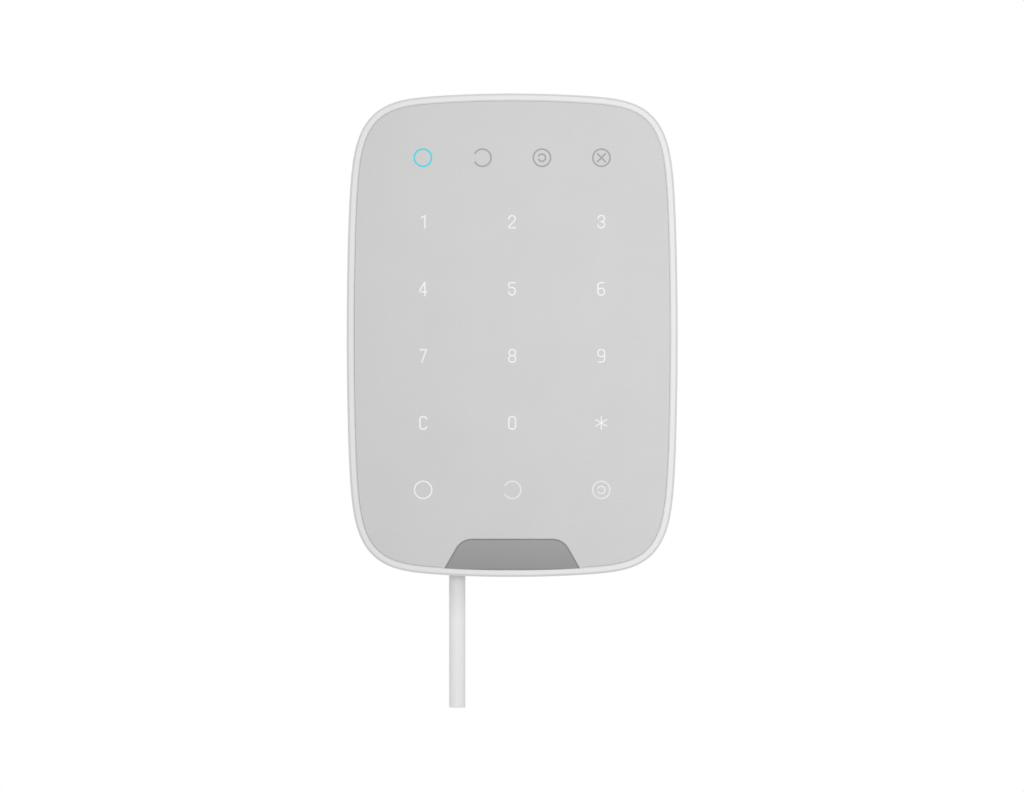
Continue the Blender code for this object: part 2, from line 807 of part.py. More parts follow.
def screw_cut(x, z):
    """A screw's clearance hole with its counterbore, cut from behind."""
    hole, sink = SCREW_R + GAP, SCREW_HEAD_R + GAP
    step = -(SCREW_SEAT + GAP)
    profile = [
        (0, 1 - COVER_BACK), (sink, 1 - COVER_BACK), (sink, step),
        (hole, step), (hole, -BOARD_BACK - 1), (0, -BOARD_BACK - 1),
    ]
    data = turned(profile, 16)
    data.transform(Matrix.Translation(Vector((x, 0, z)) * MM) @ Matrix.Rotation(-math.pi / 2, 4, "X"))
    return data


def rear_cover():
    """The back of the keypad: screw posts, hook slots and the cable bay."""
    stem = HOOK_STEM + GAP
    slots = []
    for x, z in hook_places():
        half = HOOK_W / 2 + GAP
        slots.append(rectangle(x - half, x + half, z - LIFT - GAP, z + stem))
    sound = [
        slot(SOUNDER[0], SOUNDER[1] + SOUND_PITCH * i, SOUND_SLOT, SOUND_SLOT_R) for i in (-1, 0, 1)
    ]
    hole = circle(TAMPER_X, TAMPER_Z, TAMPER_R + GAP, 16)
    loops = [outline(INNER_INSET), hole] + slots + sound
    cover = node("rear_cover", plate(loops, COVER_BACK, COVER_FRONT), "cover_white")
    posts = [peg(x, z, POST_R, COVER_FRONT - 0.4, BOARD_BACK - GAP) for x, z in screw_places()]
    tab_top = FOOT + TAB_FOOT + TAB_T + GAP
    near, far = FIX_DEPTH - FIX_WALL, FIX_DEPTH + FIX_WALL
    boss = box(-FIX_WALL, FIX_WALL, COVER_BACK + 0.4, far, tab_top - 1, tab_top + FIX_BOSS_H)
    bay = bay_block(BAY_WALL, COVER_FRONT - 0.4, BAY_FRONT, 0)
    add(cover, *posts, boss, bay)
    half = TAB_W / 2 + SLIDE_GAP
    notch = box(-half, half, COVER_BACK - 1, far + 1, FOOT, tab_top)
    hollow = bay_block(0, COVER_BACK - 1, BAY_TOP, 2)
    cut(cover, hollow, notch, *[screw_cut(x, z) for x, z in screw_places()])
    cut(cover, fix_bore(tab_top), *floor_cuts())
    return cover


def fix_bore(tab_top):
    """The blind bore for the fixing screw."""
    return post(0, FIX_DEPTH, FIX_R + GAP, tab_top - 1, tab_top + FIX_BOSS_H - 1.2, 16)


def floor_cuts():
    """Openings in the bay floor for the terminal block and the cable tie."""
    half = terminal_half() + GAP
    low = TERMINAL_Z - TERMINAL_H / 2 - GAP
    high = TERMINAL_Z + TERMINAL_H / 2 + GAP
    near, far = BAY_TOP - 0.5, BAY_FRONT + 1
    cuts = [box(CABLE_X - half, CABLE_X + half, near, far, low, high)]
    inner = CABLE_R + GAP - 0.15
    for sign in (-1, 1):
        a = CABLE_X + sign * (inner - 0.15)
        b = CABLE_X + sign * (inner + TIE_T + 0.2)
        cuts.append(box(min(a, b), max(a, b), near, far, TIE_Z - TIE_W, TIE_Z + TIE_W))
    return cuts


def cover_screws():
    """The screws that hold cover, board and frame together."""
    head = SCREW_HEAD_IN
    for i, (x, z) in enumerate(screw_places(), 1):
        profile = [
            (0, SCREW_HEAD_T), (SCREW_HEAD_R - 0.3, SCREW_HEAD_T), (SCREW_HEAD_R, SCREW_HEAD_T - 0.3),
            (SCREW_HEAD_R, 0), (SCREW_R, 0), (SCREW_R, 0.6 - SCREW_LENGTH),
            (SCREW_R * 0.4, -SCREW_LENGTH), (0, -SCREW_LENGTH),
        ]
        data = turned(profile, 12)
        stand = Matrix.Rotation(-math.pi / 2, 4, "X")
        seat = Vector((x, -SCREW_SEAT, z)) * MM
        data.transform(Matrix.Translation(seat) @ stand)
        made = node(f"cover_screw_{i}", data, "screw_steel", (x, head, z))
        cross_recess(made, x, z, head)


def cross_recess(screw, x, z, head):
    """The cross driver recess in a screw head that faces the wall."""
    arm, thin = SCREW_HEAD_R * 0.6, SCREW_HEAD_R * 0.14
    near, far = head - 1, head + SCREW_HEAD_T * 0.6
    cut(screw, box(x - arm, x + arm, near, far, z - thin, z + thin))
    cut(screw, box(x - thin, x + thin, near, far, z - arm, z + arm))


def hook_section(z):
    """A hook from the side: its stem through the cover and its lip upwards."""
    rise = z + HOOK_STEM
    return [
        (BRACKET_T / 2, z), (HOOK_FRONT, z), (HOOK_FRONT, rise + HOOK_LIP),
        (HOOK_IN, rise + HOOK_LIP), (HOOK_IN, rise), (BRACKET_T / 2, rise),
    ]


def mounting_bracket():
    """The wall plate: hooks, screw slots, cable window, tamper pad and tab."""
    wide = WIDTH / 2 - BRACKET_SIDE
    top, low = HEIGHT / 2 - BRACKET_TOP, FOOT + BRACKET_FOOT
    holes = [
        slot(sx * WALL_HOLE_X, sz * WALL_HOLE_Z, WALL_SLOT, WALL_HOLE_R)
        for sx in (-1, 1) for sz in (-1, 1)
    ]
    half = (180 - PAD_BRIDGE) / 2
    for middle in (90, 270):
        start, end = middle - half, middle + half
        holes.append(arc_slot(TAMPER_X, TAMPER_Z, PAD_R, PAD_SLOT, start, end))
    side = BAY_W / 2 + WINDOW_MARGIN
    window_low = BAY_LOW_Z + WINDOW_FOOT
    high = BAY_HIGH_Z + LIFT
    holes.append(rectangle(CABLE_X - side, CABLE_X + side, window_low, high, WINDOW_ROUND))
    holes.append(rectangle(-BOX_W / 2, BOX_W / 2, BOX_LOW_Z, BOX_HIGH_Z, BOX_ROUND))
    loops = [rectangle(-wide, wide, low, top, BRACKET_ROUND, 10)] + holes
    bracket = node("mounting_bracket", plate(loops, 0, BRACKET_T), "bracket_white")
    half = HOOK_W / 2
    hooks = [bar(hook_section(z), x - half, x + half) for x, z in hook_places()]
    tab_low = FOOT + TAB_FOOT
    half = TAB_W / 2
    tab = [
        (0.2, tab_low), (TAB_FRONT, tab_low), (TAB_FRONT, tab_low + TAB_T),
        (BRACKET_T - 0.2, tab_low + TAB_T), (BRACKET_T - 0.2, low + 2), (0.2, low + 2),
    ]
    add(bracket, *hooks, bar(tab, -half, half))
    reach = CABLE_R + SLIDE_GAP + GAP
    gate = box(CABLE_X - reach, CABLE_X + reach, -1, BRACKET_T + 1, FOOT, window_low + 1)
    hole = post(0, FIX_DEPTH, FIX_R + GAP, tab_low - 1, tab_low + TAB_T + 1, 16)
    long = WALL_SLOT + 2 * (WALL_SINK_R - WALL_HOLE_R)
    sinks = [
        plate([slot(sx * WALL_HOLE_X, sz * WALL_HOLE_Z, long, WALL_SINK_R)],
              BRACKET_T - WALL_SINK, BRACKET_T + 1)
        for sx in (-1, 1) for sz in (-1, 1)
    ]
    return cut(bracket, gate, hole, *sinks)


def fixing_screw():
    """The screw that locks the keypad down, driven from below."""
    tab_low = FOOT + TAB_FOOT
    head = tab_low - GAP
    profile = [
        (0, FIX_LENGTH + TAB_T), (FIX_R * 0.4, FIX_LENGTH + TAB_T),
        (FIX_R, FIX_LENGTH + TAB_T - 0.8), (FIX_R, 0), (FIX_HEAD_R, 0),
        (FIX_HEAD_R, 0.3 - FIX_HEAD_T), (FIX_HEAD_R - 0.3, -FIX_HEAD_T), (0, -FIX_HEAD_T),
    ]
    data = turned(profile, 16)
    data.transform(Matrix.Translation(Vector((0, -FIX_DEPTH, head)) * MM))
    screw = node("fixing_screw", data, "screw_steel", (0, FIX_DEPTH, head))
    low, high = head - FIX_HEAD_T - 1, head - FIX_HEAD_T * 0.45
    arm, thin = FIX_HEAD_R * 0.6, FIX_HEAD_R * 0.14
    cut(screw, box(-arm, arm, FIX_DEPTH - thin, FIX_DEPTH + thin, low, high))
    return cut(screw, box(-thin, thin, FIX_DEPTH - arm, FIX_DEPTH + arm, low, high))


# ------------------------------------------------------- cable and terminals


def terminal_half():
    return TERMINALS * TERMINAL_PITCH / 2 + 0.3


def terminal_block():
    """The screw terminals, wired from below and driven from the back."""
    half, high = terminal_half(), TERMINAL_H / 2
    data = box(
        CABLE_X - half, CABLE_X + half, TERMINAL_OUT, PART_SEAT, TERMINAL_Z - high, TERMINAL_Z + high
    )
    made = node("terminal_block", data, "terminal_green")
    hole = TERMINAL_SCREW_R + GAP
    depth = TERMINAL_OUT + GAP + TERMINAL_SCREW_L + GAP
    cut(made, *[peg(x, TERMINAL_Z + 0.6, hole, TERMINAL_OUT - 1, depth, 16) for x in terminal_xs()])
    low = TERMINAL_Z - high
    mouths = [post(x, wire_depth(), WIRE_R + GAP, low - 1, low + 2.2, 12) for x in terminal_xs()]
    return cut(made, *mouths)


def wire_depth():
    """Depth of the wire mouths, between the screws and the board."""
    return TERMINAL_OUT + GAP + TERMINAL_SCREW_L + GAP + TERMINAL_WEB + WIRE_R + GAP


def terminal_screws():
    """The clamping screws, each in its own well."""
    top = TERMINAL_OUT + GAP
    for i, x in enumerate(terminal_xs(), 1):
        z = TERMINAL_Z + 0.6
        data = peg(x, z, TERMINAL_SCREW_R, top, top + TERMINAL_SCREW_L, 12)
        made = node(f"terminal_screw_{i}", data, "screw_steel", (x, top, z))
        arm = TERMINAL_SCREW_R + 0.5
        cut(made, box(x - arm, x + arm, top - 1, top + 0.7, z - 0.2, z + 0.2))


def wire_line(i, x):
    """One core, from the jacket's end to its terminal, on a smooth curve."""
    sx = (-1, -1, 1, 1)[i] * WIRE_SPREAD
    sd = (1, -1, -1, 1)[i] * WIRE_SPREAD
    start = Vector((CABLE_X + sx, CABLE_DEPTH + sd, CABLE_END_Z + GAP))
    end = Vector((x, wire_depth(), TERMINAL_Z - TERMINAL_H / 2 + 1.7))
    span = end.z - start.z
    line = []
    for k in range(9):
        t = k / 8
        ease = t * t * (3 - 2 * t)
        line.append((start.x + (end.x - start.x) * ease, start.y + (end.y - start.y) * ease,
                     start.z + span * t))
    return line


def wires():
    colours = ("wire_red", "wire_black", "wire_green", "wire_yellow")
    for i, x in enumerate(terminal_xs()):
        node(f"wire_{i + 1}", tube(wire_line(i, x), WIRE_R, 1), colours[i])


def cable():
    """The jacketed cable, from the bay down to its cut end."""
    low = FOOT - CABLE_FREE
    drop = (CABLE_END_Z - low) / CABLE_STEPS
    line = [(CABLE_X, CABLE_DEPTH, CABLE_END_Z - drop * i) for i in range(CABLE_STEPS + 1)]
    return node("cable", tube(line, CABLE_R, 3), "jacket_white")


def cable_tie():
    """The tie that holds the jacket to the bay floor."""
    inner = CABLE_R + GAP - 0.15
    near, far = CABLE_DEPTH - inner, BAY_FRONT + 0.12
    x0, x1 = CABLE_X - inner, CABLE_X + inner
    low, high = TIE_Z - TIE_W / 2, TIE_Z + TIE_W / 2
    made = node("cable_tie", box(x0 - TIE_T, x1 + TIE_T, near - TIE_T, far + TIE_T, low, high), "tie_white")
    wide, thick, tall = TIE_HEAD
    head = box(x1 + 0.3, x1 + TIE_T + wide, CABLE_DEPTH - 1, CABLE_DEPTH - 1 + thick,
               TIE_Z - tall / 2, TIE_Z + tall / 2)
    add(made, head)
    return cut(made, box(x0, x1, near, far, low - 1, high + 1))


# ----------------------------------------------------------------- tamper


def tamper_parts():
    """The switch, its plunger and the return spring."""
    x, z = TAMPER_X, TAMPER_Z
    half = SWITCH_SIZE / 2
    body = PART_SEAT - SWITCH_T
    switch = node("tamper_switch", box(x - half, x + half, body, PART_SEAT, z - half, z + half),
                  "switch_black")
    tip, rest = BRACKET_T + GAP, COVER_FRONT + GAP
    button = body - 0.2
    add(switch, peg(x, z, TAMPER_R + 0.1, button, body + 0.3, 16))
    nose = button - GAP - TAMPER_PRESS
    profile = [
        (0, -tip), (TAMPER_R - 0.3, -tip), (TAMPER_R, -tip - 0.3), (TAMPER_R, -rest),
        (TAMPER_FLANGE_R, -rest), (TAMPER_FLANGE_R, -rest - TAMPER_FLANGE_T),
        (TAMPER_R, -rest - TAMPER_FLANGE_T), (TAMPER_R, -nose), (0, -nose),
    ]
    data = turned(profile, 16)
    stand = Matrix.Rotation(-math.pi / 2, 4, "X")
    data.transform(Matrix.Translation(Vector((x, 0, z)) * MM) @ stand)
    node("tamper_plunger", data, "plunger_white", (x, tip, z))
    start = rest + TAMPER_FLANGE_T + GAP + SPRING_WIRE_R
    end = body - GAP - SPRING_WIRE_R
    radius = TAMPER_R + GAP + 0.15 + SPRING_WIRE_R
    count = int(SPRING_TURNS * 12)
    coil = []
    for i in range(count + 1):
        a = 2 * math.pi * i / 12
        coil.append((x + radius * math.cos(a), start + (end - start) * i / count,
                     z + radius * math.sin(a)))
    node("tamper_spring", tube(coil, SPRING_WIRE_R, 1), "spring_steel", (x, body, z))


def build():
    front_frame()
    front_panel()
    badge_insert()
    panel_adhesive()
    touch_film()
    light_mask()
    main_board()
    leds()
    block("controller_chip", CHIP, "chip_black")
    block("touch_chip", TOUCH_CHIP, "chip_black")
    block("inductor", INDUCTOR, "ferrite_grey")
    block("regulator", REGULATOR, "chip_black")
    can("capacitor", CAPACITOR, "can_aluminium")
    film_connector()
    sounder()
    rear_cover()
    cover_screws()
    mounting_bracket()
    fixing_screw()
    terminal_block()
    terminal_screws()
    wires()
    cable()
    cable_tie()
    tamper_parts()


build()
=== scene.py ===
# %% [markdown]
# # A slim wall keypad for an alarm
# The real object is a moulded white housing with a grey touch panel in it. Printed
# digits and rings show through the panel, and a white cable leaves behind its foot.
# The solids come ready made in one frame, in metres. This lesson dresses them: finer
# surfaces where the eye rests, and a procedural finish on every piece.
#
# A part could also be dressed with painted pictures. Worked-out patterns were chosen
# because they stay sharp at any distance and need no files.

# %% Load the frame
import math

import bmesh
import bpy
import numpy as np
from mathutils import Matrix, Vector


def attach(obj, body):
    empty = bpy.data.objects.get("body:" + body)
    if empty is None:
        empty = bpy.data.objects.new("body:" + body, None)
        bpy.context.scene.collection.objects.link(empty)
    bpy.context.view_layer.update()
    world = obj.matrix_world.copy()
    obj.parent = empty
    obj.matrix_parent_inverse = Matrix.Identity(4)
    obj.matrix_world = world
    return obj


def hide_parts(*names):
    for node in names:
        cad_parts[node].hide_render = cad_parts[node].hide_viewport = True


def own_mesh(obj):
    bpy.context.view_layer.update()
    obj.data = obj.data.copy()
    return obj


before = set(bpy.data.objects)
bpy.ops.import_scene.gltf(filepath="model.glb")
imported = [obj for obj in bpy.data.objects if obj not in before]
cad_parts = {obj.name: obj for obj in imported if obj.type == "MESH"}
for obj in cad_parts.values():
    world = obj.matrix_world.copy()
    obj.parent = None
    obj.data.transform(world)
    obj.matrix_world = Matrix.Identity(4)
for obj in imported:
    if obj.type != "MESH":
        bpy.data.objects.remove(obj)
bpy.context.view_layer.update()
MM = 0.001
print("solids in the frame:", len(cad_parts))

# %% [markdown]
# ## The camera
# The photograph looks straight at the keypad from its own height. A long lens from a
# metre and a half away keeps the sides of the housing out of sight. A short lens close
# by could frame it too, but it would show the skirt all round, which isn't seen here.

# %% Place the camera
SENSOR_MM, LENS_MM = 36.0, 170.17
EYE_X, EYE_Z, EYE_FROM_WALL, DEPTH = -0.06, -18.86, 1514.0, 14.0
scene = bpy.context.scene
eye = bpy.data.cameras.new("eye")
eye.sensor_width, eye.lens = SENSOR_MM, LENS_MM
camera = bpy.data.objects.new("eye", eye)
camera.location = (EYE_X * MM, -EYE_FROM_WALL * MM, EYE_Z * MM)
camera.rotation_euler = (math.pi / 2, 0, 0)
scene.collection.objects.link(camera)
scene.camera = camera
scene.view_settings.view_transform = "Standard"
shown_width = (EYE_FROM_WALL - DEPTH) * SENSOR_MM / LENS_MM
print("picture width at the face, mm:", round(shown_width, 1))

# %% [markdown]
# ## Nodes and colours
# A finish is a small network of shader nodes. One helper adds any node with its
# settings and links, so that every finish reads the same way. Colours are written as
# the hex value a screen shows and turned into the linear light that Blender adds up.

# %% A colour and a node


def linear(code):
    """A hex sRGB colour as linear RGBA: (v + 0.055) / 1.055 to the 2.4, per channel."""
    parts = np.array([int(code[i : i + 2], 16) for i in (1, 3, 5)]) / 255
    light = np.where(parts <= 0.04045, parts / 12.92, ((parts + 0.055) / 1.055) ** 2.4)
    return (*light.tolist(), 1.0)


def add_node(tree, kind, links=None, **settings):
    """One node: settings go to its sockets, or to itself, and links to its inputs."""
    made = tree.nodes.new(kind)
    for name, value in settings.items():
        label = name.replace("_", " ")
        socket = next((s for s in made.inputs if s.name.lower() == label.lower()), None)
        if socket is not None:
            socket.default_value = value
        else:
            setattr(made, name, value)
    for name, source in (links or {}).items():
        tree.links.new(source, made.inputs[name])
    return made


print("mid grey #808080 in linear light:", round(linear("#808080")[0], 3))

# %% [markdown]
# ## Floor, world and lamps
# Product pictures like this one are shot in a white tent with soft lamps round the
# object. Here a spot on the upper right lets the panel fall off a little to the lower
# left, two small boxes light the edges from the right and from below, and two weak
# suns fill the front and the back. The world gives the even part of the light. Lamps
# alone could do it too, but an even part keeps every colour about as it is written,
# from any side. The floor and the world show white to the camera and to reflections
# only, which keeps them from throwing more light on the keypad.

# %% Even light from the world
WORLD_LEVEL = 0.535
WHITE = (1, 1, 1, 1)
world = bpy.data.worlds.new("white_tent")
scene.world = world
world.use_nodes = True
sky = world.node_tree
sky.nodes.clear()


def looked_at(tree):
    """One for rays of the camera, of gloss and of glass, and nothing for other light."""
    path = add_node(tree, "ShaderNodeLightPath").outputs
    pair = {0: path["Is Camera Ray"], 1: path["Is Glossy Ray"]}
    either = add_node(tree, "ShaderNodeMath", pair, operation="MAXIMUM")
    pair = {0: either.outputs[0], 1: path["Is Transmission Ray"]}
    return add_node(tree, "ShaderNodeMath", pair, operation="MAXIMUM").outputs[0]


shown = looked_at(sky)
even = add_node(sky, "ShaderNodeBackground", color=WHITE, strength=WORLD_LEVEL)
white = add_node(sky, "ShaderNodeBackground", color=WHITE, strength=1.0)
mixed = add_node(
    sky, "ShaderNodeMixShader", {0: shown, 1: even.outputs[0], 2: white.outputs[0]}
)
add_node(sky, "ShaderNodeOutputWorld", {"Surface": mixed.outputs[0]})
print("world light:", WORLD_LEVEL)

# %% Two soft boxes, a soft spot and two weak suns


def aimed(name, kind, place, target):
    """A lamp object that stands at a place and looks at a target."""
    lamp = bpy.data.lights.new(name, kind)
    made = bpy.data.objects.new(name, lamp)
    made.location = place
    made.rotation_mode = "QUATERNION"
    way = Vector(target) - Vector(place)
    made.rotation_quaternion = way.to_track_quat("-Z", "Y")
    scene.collection.objects.link(made)
    return made, lamp, way.length


def soft_box(name, place, target, size, level):
    """A square lamp; a face at the target turned to it gets about this level.

    A small flat lamp of power P lights a face at a distance d with P / (pi d d), and
    a white face sends back 1 / pi of that, so P is level times pi squared d squared.
    """
    made, lamp, reach = aimed(name, "AREA", place, target)
    lamp.shape = "SQUARE"
    lamp.size = size
    lamp.energy = level * math.pi**2 * reach**2
    made.visible_camera = False
    return made


def sun(name, place, level, spread):
    """A wide sun that shines towards the origin; a face turned to it gets this level."""
    made, lamp, _ = aimed(name, "SUN", place, (0, 0, 0))
    lamp.energy = level * math.pi
    lamp.angle = math.radians(spread)
    return made


SPOT_RADIUS = 0.05


def soft_spot(name, place, target, reach_mm, level):
    """A spot that fades out at this distance from its target.

    A point of power P lights a face at a distance d with P / (4 pi d d).
    """
    made, lamp, reach = aimed(name, "SPOT", place, target)
    lamp.spot_size = 2 * math.atan(reach_mm * MM / reach)
    lamp.spot_blend = 1.0
    lamp.shadow_soft_size = SPOT_RADIUS
    lamp.energy = level * 4 * math.pi**2 * reach**2
    made.visible_camera = made.visible_glossy = False
    return made


soft_box("soft_box", (0.24, -0.36, 0.03), (0, 0, 0), 0.2, 0.04)
soft_spot("soft_spot", (0.16, -1.1, 0.16), (0.08, 0, 0.03), 220, 0.19)
soft_box("low_box", (0.0, -0.36, -0.25), (0, 0, -0.03), 0.2, 0.03)
sun("front_fill", (0.0, -1, 0.1), 0.141, 40)
sun("rear_fill", (-0.35, 1, 0.3), 0.26, 60)

# %% The pale floor
FLOOR_Z, FLOOR_HALF, FLOOR_WHITE = -0.30, 1.45, 0.95
floor_mesh = bpy.data.meshes.new("floor")
corners = np.array([(-1, -1), (1, -1), (1, 1), (-1, 1)]) * FLOOR_HALF
floor_mesh.from_pydata([(x, y, FLOOR_Z) for x, y in corners], [], [(0, 1, 2, 3)])
floor = bpy.data.objects.new("floor", floor_mesh)
scene.collection.objects.link(floor)
paint = bpy.data.materials.new("white_paper_roll")
paint.use_nodes = True
tree = paint.node_tree
tree.nodes.clear()
matt = add_node(tree, "ShaderNodeBsdfDiffuse", color=linear("#F6F6F6"))
glow = add_node(tree, "ShaderNodeEmission", color=WHITE, strength=1.0)
# a little of the paper's own white stays, so that the object's shadow shows
share = add_node(tree, "ShaderNodeMath", {0: looked_at(tree)}, operation="MULTIPLY")
share.inputs[1].default_value = FLOOR_WHITE
mixed = add_node(
    tree, "ShaderNodeMixShader", {0: share.outputs[0], 1: matt.outputs[0], 2: glow.outputs[0]}
)
add_node(tree, "ShaderNodeOutputMaterial", {"Surface": mixed.outputs[0]})
floor_mesh.materials.append(paint)
print("floor at z, mm:", FLOOR_Z / MM)

# %% [markdown]
# ## Surfaces from arrays
# A piece is worked out as a whole array of points: rows of a profile, columns along
# a path. Quads join neighbours, and the rows can close on themselves or end in a fan
# round a pole. The same could be modelled by hand with extrusions, but arrays keep
# each edge exactly where the plan puts it.

# %% From a grid of points to a mesh piece


def piece(name, grids, body="keypad", sharp=32):
    """A mesh object from grids, each (points, wrap rows, wrap columns, poles).

    points is rows by columns by xyz, in mm. Quads run between neighbours in both
    directions, and poles is the pair of points that close the first and last row.
    """
    verts, faces, start = [], [], 0
    for points, wrap_rows, wrap_columns, poles in grids:
        rows, columns, _ = points.shape
        r = np.arange(rows if wrap_rows else rows - 1)
        c = np.arange(columns if wrap_columns else columns - 1)
        r, c = (a.ravel() for a in np.meshgrid(r, c, indexing="ij"))
        r2, c2 = (r + 1) % rows, (c + 1) % columns
        this, after = r * columns, r2 * columns
        quads = np.stack([this + c, this + c2, after + c2, after + c], 1)
        faces += (quads + start).tolist()
        verts.append(points.reshape(-1, 3))
        here = start + rows * columns
        for pole, row in zip(poles or (), (0, rows - 1)):
            k = np.arange(columns if wrap_columns else columns - 1)
            a, b = start + row * columns + k, start + row * columns + (k + 1) % columns
            fan = (b, a) if row == 0 else (a, b)
            faces += np.stack([*fan, np.full_like(k, here)], 1).tolist()
            verts.append(np.array([pole], float))
            here += 1
        start = here
    mesh = bpy.data.meshes.new(name)
    mesh.from_pydata((np.concatenate(verts) * MM).tolist(), [], faces)
    made = bpy.data.objects.new(name, mesh)
    scene.collection.objects.link(made)
    face_outwards(mesh)
    mesh.shade_smooth()
    mesh.set_sharp_from_angle(angle=math.radians(sharp))
    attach(made, body)
    return made


def face_outwards(mesh):
    """Turns each closed shell's faces away from what it holds."""
    bm = bmesh.new()
    bm.from_mesh(mesh)
    bmesh.ops.recalc_face_normals(bm, faces=bm.faces)
    bm.to_mesh(mesh)
    bm.free()


def stand(x, z, depth):
    """Points at x and z, standing out from the wall by depth, all in mm."""
    x, z, depth = np.broadcast_arrays(x, z, depth)
    return np.stack([x, -depth, z], -1)


print("grids become pieces; depth counts from the wall")

# %% [markdown]
# ## The cable
# A round alarm cable is a soft PVC jacket over four thin cores. It comes out of the
# bay at the back, leaves through the notch in the housing's foot and hangs straight,
# to a square cut. A curve with a round bevel would do for the jacket, but a profile
# carried down the path also gives the cut its wall and the hollow that the cores fill.

# %% The cable's route and jacket
CABLE_X, CABLE_DEPTH, CABLE_R = -17.17, 3.6, 2.55
CABLE_TOP_Z, CABLE_LOW_Z = -50.0, -116.0
JACKET_BORE = 1.75
route_z = np.linspace(CABLE_TOP_Z, CABLE_LOW_Z, 23)


def round_tube(route, radius, columns=48):
    """Rings round a line that runs down: x and depth by sine and cosine of the turn."""
    turn = np.linspace(0, 2 * np.pi, columns, endpoint=False)
    x, depth, z = (np.asarray(a, float)[:, None] for a in route)
    radius = np.asarray(radius, float).reshape(-1, 1)
    return stand(x + radius * np.cos(turn), z + 0 * turn, depth + radius * np.sin(turn))


JACKET_LIP, JACKET_HOLLOW = 0.05, 1.2
jacket_z = np.concatenate([
    [CABLE_TOP_Z - JACKET_HOLLOW, CABLE_TOP_Z, CABLE_TOP_Z, CABLE_TOP_Z - JACKET_LIP],
    route_z[1:-1],
    [CABLE_LOW_Z + JACKET_LIP, CABLE_LOW_Z, CABLE_LOW_Z, CABLE_LOW_Z + JACKET_HOLLOW],
])
cut_end = [JACKET_BORE, JACKET_BORE, CABLE_R - JACKET_LIP, CABLE_R]
jacket_r = np.concatenate([cut_end, np.full(len(route_z) - 2, CABLE_R), cut_end[::-1]])
jacket_grid = round_tube(
    (np.full_like(jacket_z, CABLE_X), np.full_like(jacket_z, CABLE_DEPTH), jacket_z), jacket_r
)
jacket_poles = [(CABLE_X, -CABLE_DEPTH, jacket_z[0]), (CABLE_X, -CABLE_DEPTH, jacket_z[-1])]
jacket = piece("cable_jacket", [(jacket_grid, False, True, jacket_poles)])
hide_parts("cable")
print("cable, mm:", CABLE_TOP_Z - CABLE_LOW_Z, "long,", 2 * CABLE_R, "across")

# %% The four cores, at the cut and up to their terminals
CORE_R, CORE_SPREAD, CORE_CHAMFER = 0.6, 0.75, 0.05
STUB_IN, STUB_CUT = 1.4, 0.05
CORE_HELD, CORE_FREE = 1.1, 0.3
TERMINAL_PITCH = 3.5
TERMINAL_LOW_Z, CORE_END_DEPTH, CORE_INTO = -36.0, 5.1, 1.7
core_sides = ((-1, 1), (-1, -1), (1, -1), (1, 1))
core_names = ("wire_red", "wire_black", "wire_green", "wire_yellow")
stubs = []
for i, (sx, sd) in enumerate(core_sides):
    x, depth = CABLE_X + sx * CORE_SPREAD, CABLE_DEPTH + sd * CORE_SPREAD
    z = CABLE_LOW_Z + np.array([STUB_IN, STUB_CUT + CORE_CHAMFER, STUB_CUT])
    radius = [CORE_R, CORE_R, CORE_R - CORE_CHAMFER]
    stub = round_tube((np.full(3, x), np.full(3, depth), z), radius, 20)
    ends = [(x, -depth, z[0]), (x, -depth, z[-1])]
    stubs.append(piece(f"cut_core_{i + 1}", [(stub, False, True, ends)]))
core_wires = []
for i, (sx, sd) in enumerate(core_sides):
    t = np.linspace(0, 1, 25)
    ease = t * t * (3 - 2 * t)
    x0, d0 = CABLE_X + sx * CORE_SPREAD, CABLE_DEPTH + sd * CORE_SPREAD
    x1, z1 = CABLE_X + (i - 1.5) * TERMINAL_PITCH, TERMINAL_LOW_Z + CORE_INTO
    x = np.concatenate([[x0], x0 + (x1 - x0) * ease])
    depth = np.concatenate([[d0], d0 + (CORE_END_DEPTH - d0) * ease])
    z0 = CABLE_TOP_Z + CORE_FREE
    z = np.concatenate([[CABLE_TOP_Z - CORE_HELD], z0 + (z1 - z0) * t])
    tube = round_tube((x, depth, z), np.full(len(z), CORE_R), 16)
    ends = [(x[0], -depth[0], z[0]), (x[-1], -depth[-1], z[-1])]
    wire = piece(f"core_{i + 1}", [(tube, False, True, ends)])
    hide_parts(f"wire_{i + 1}")
    core_wires.append(wire)
print("cores:", len(core_wires))

print("cable declared, from z, mm:", CABLE_TOP_Z, "to", CABLE_LOW_Z)

# %% [markdown]
# ## The outline
# The face is a rectangle whose corners roll over slowly, like a worn bar of soap: no
# plain radius fits it. It could be drawn with curve handles, but they pinch the corner.
# Here the bend itself is drawn, as a hill along the line: nearly none at the side, most
# at the corner and little at the top. Everything else follows this line: the rim, the
# panel and the skirt are the same line drawn in by a few tenths, along its normals.

# %% Half sizes and one quarter of the outline
HALF_W, HALF_H = 51.35, 75.0
SIDE_BEND, TOP_BEND = 0.0029, 0.0128
BEND_RISE, BEND_FALL = (0.6329, 0.0563), (0.6776, 0.0438)


def summed(values):
    """Running sum by the trapezium rule, from nothing."""
    return np.concatenate([[0], np.cumsum((values[1:] + values[:-1]) / 2)])


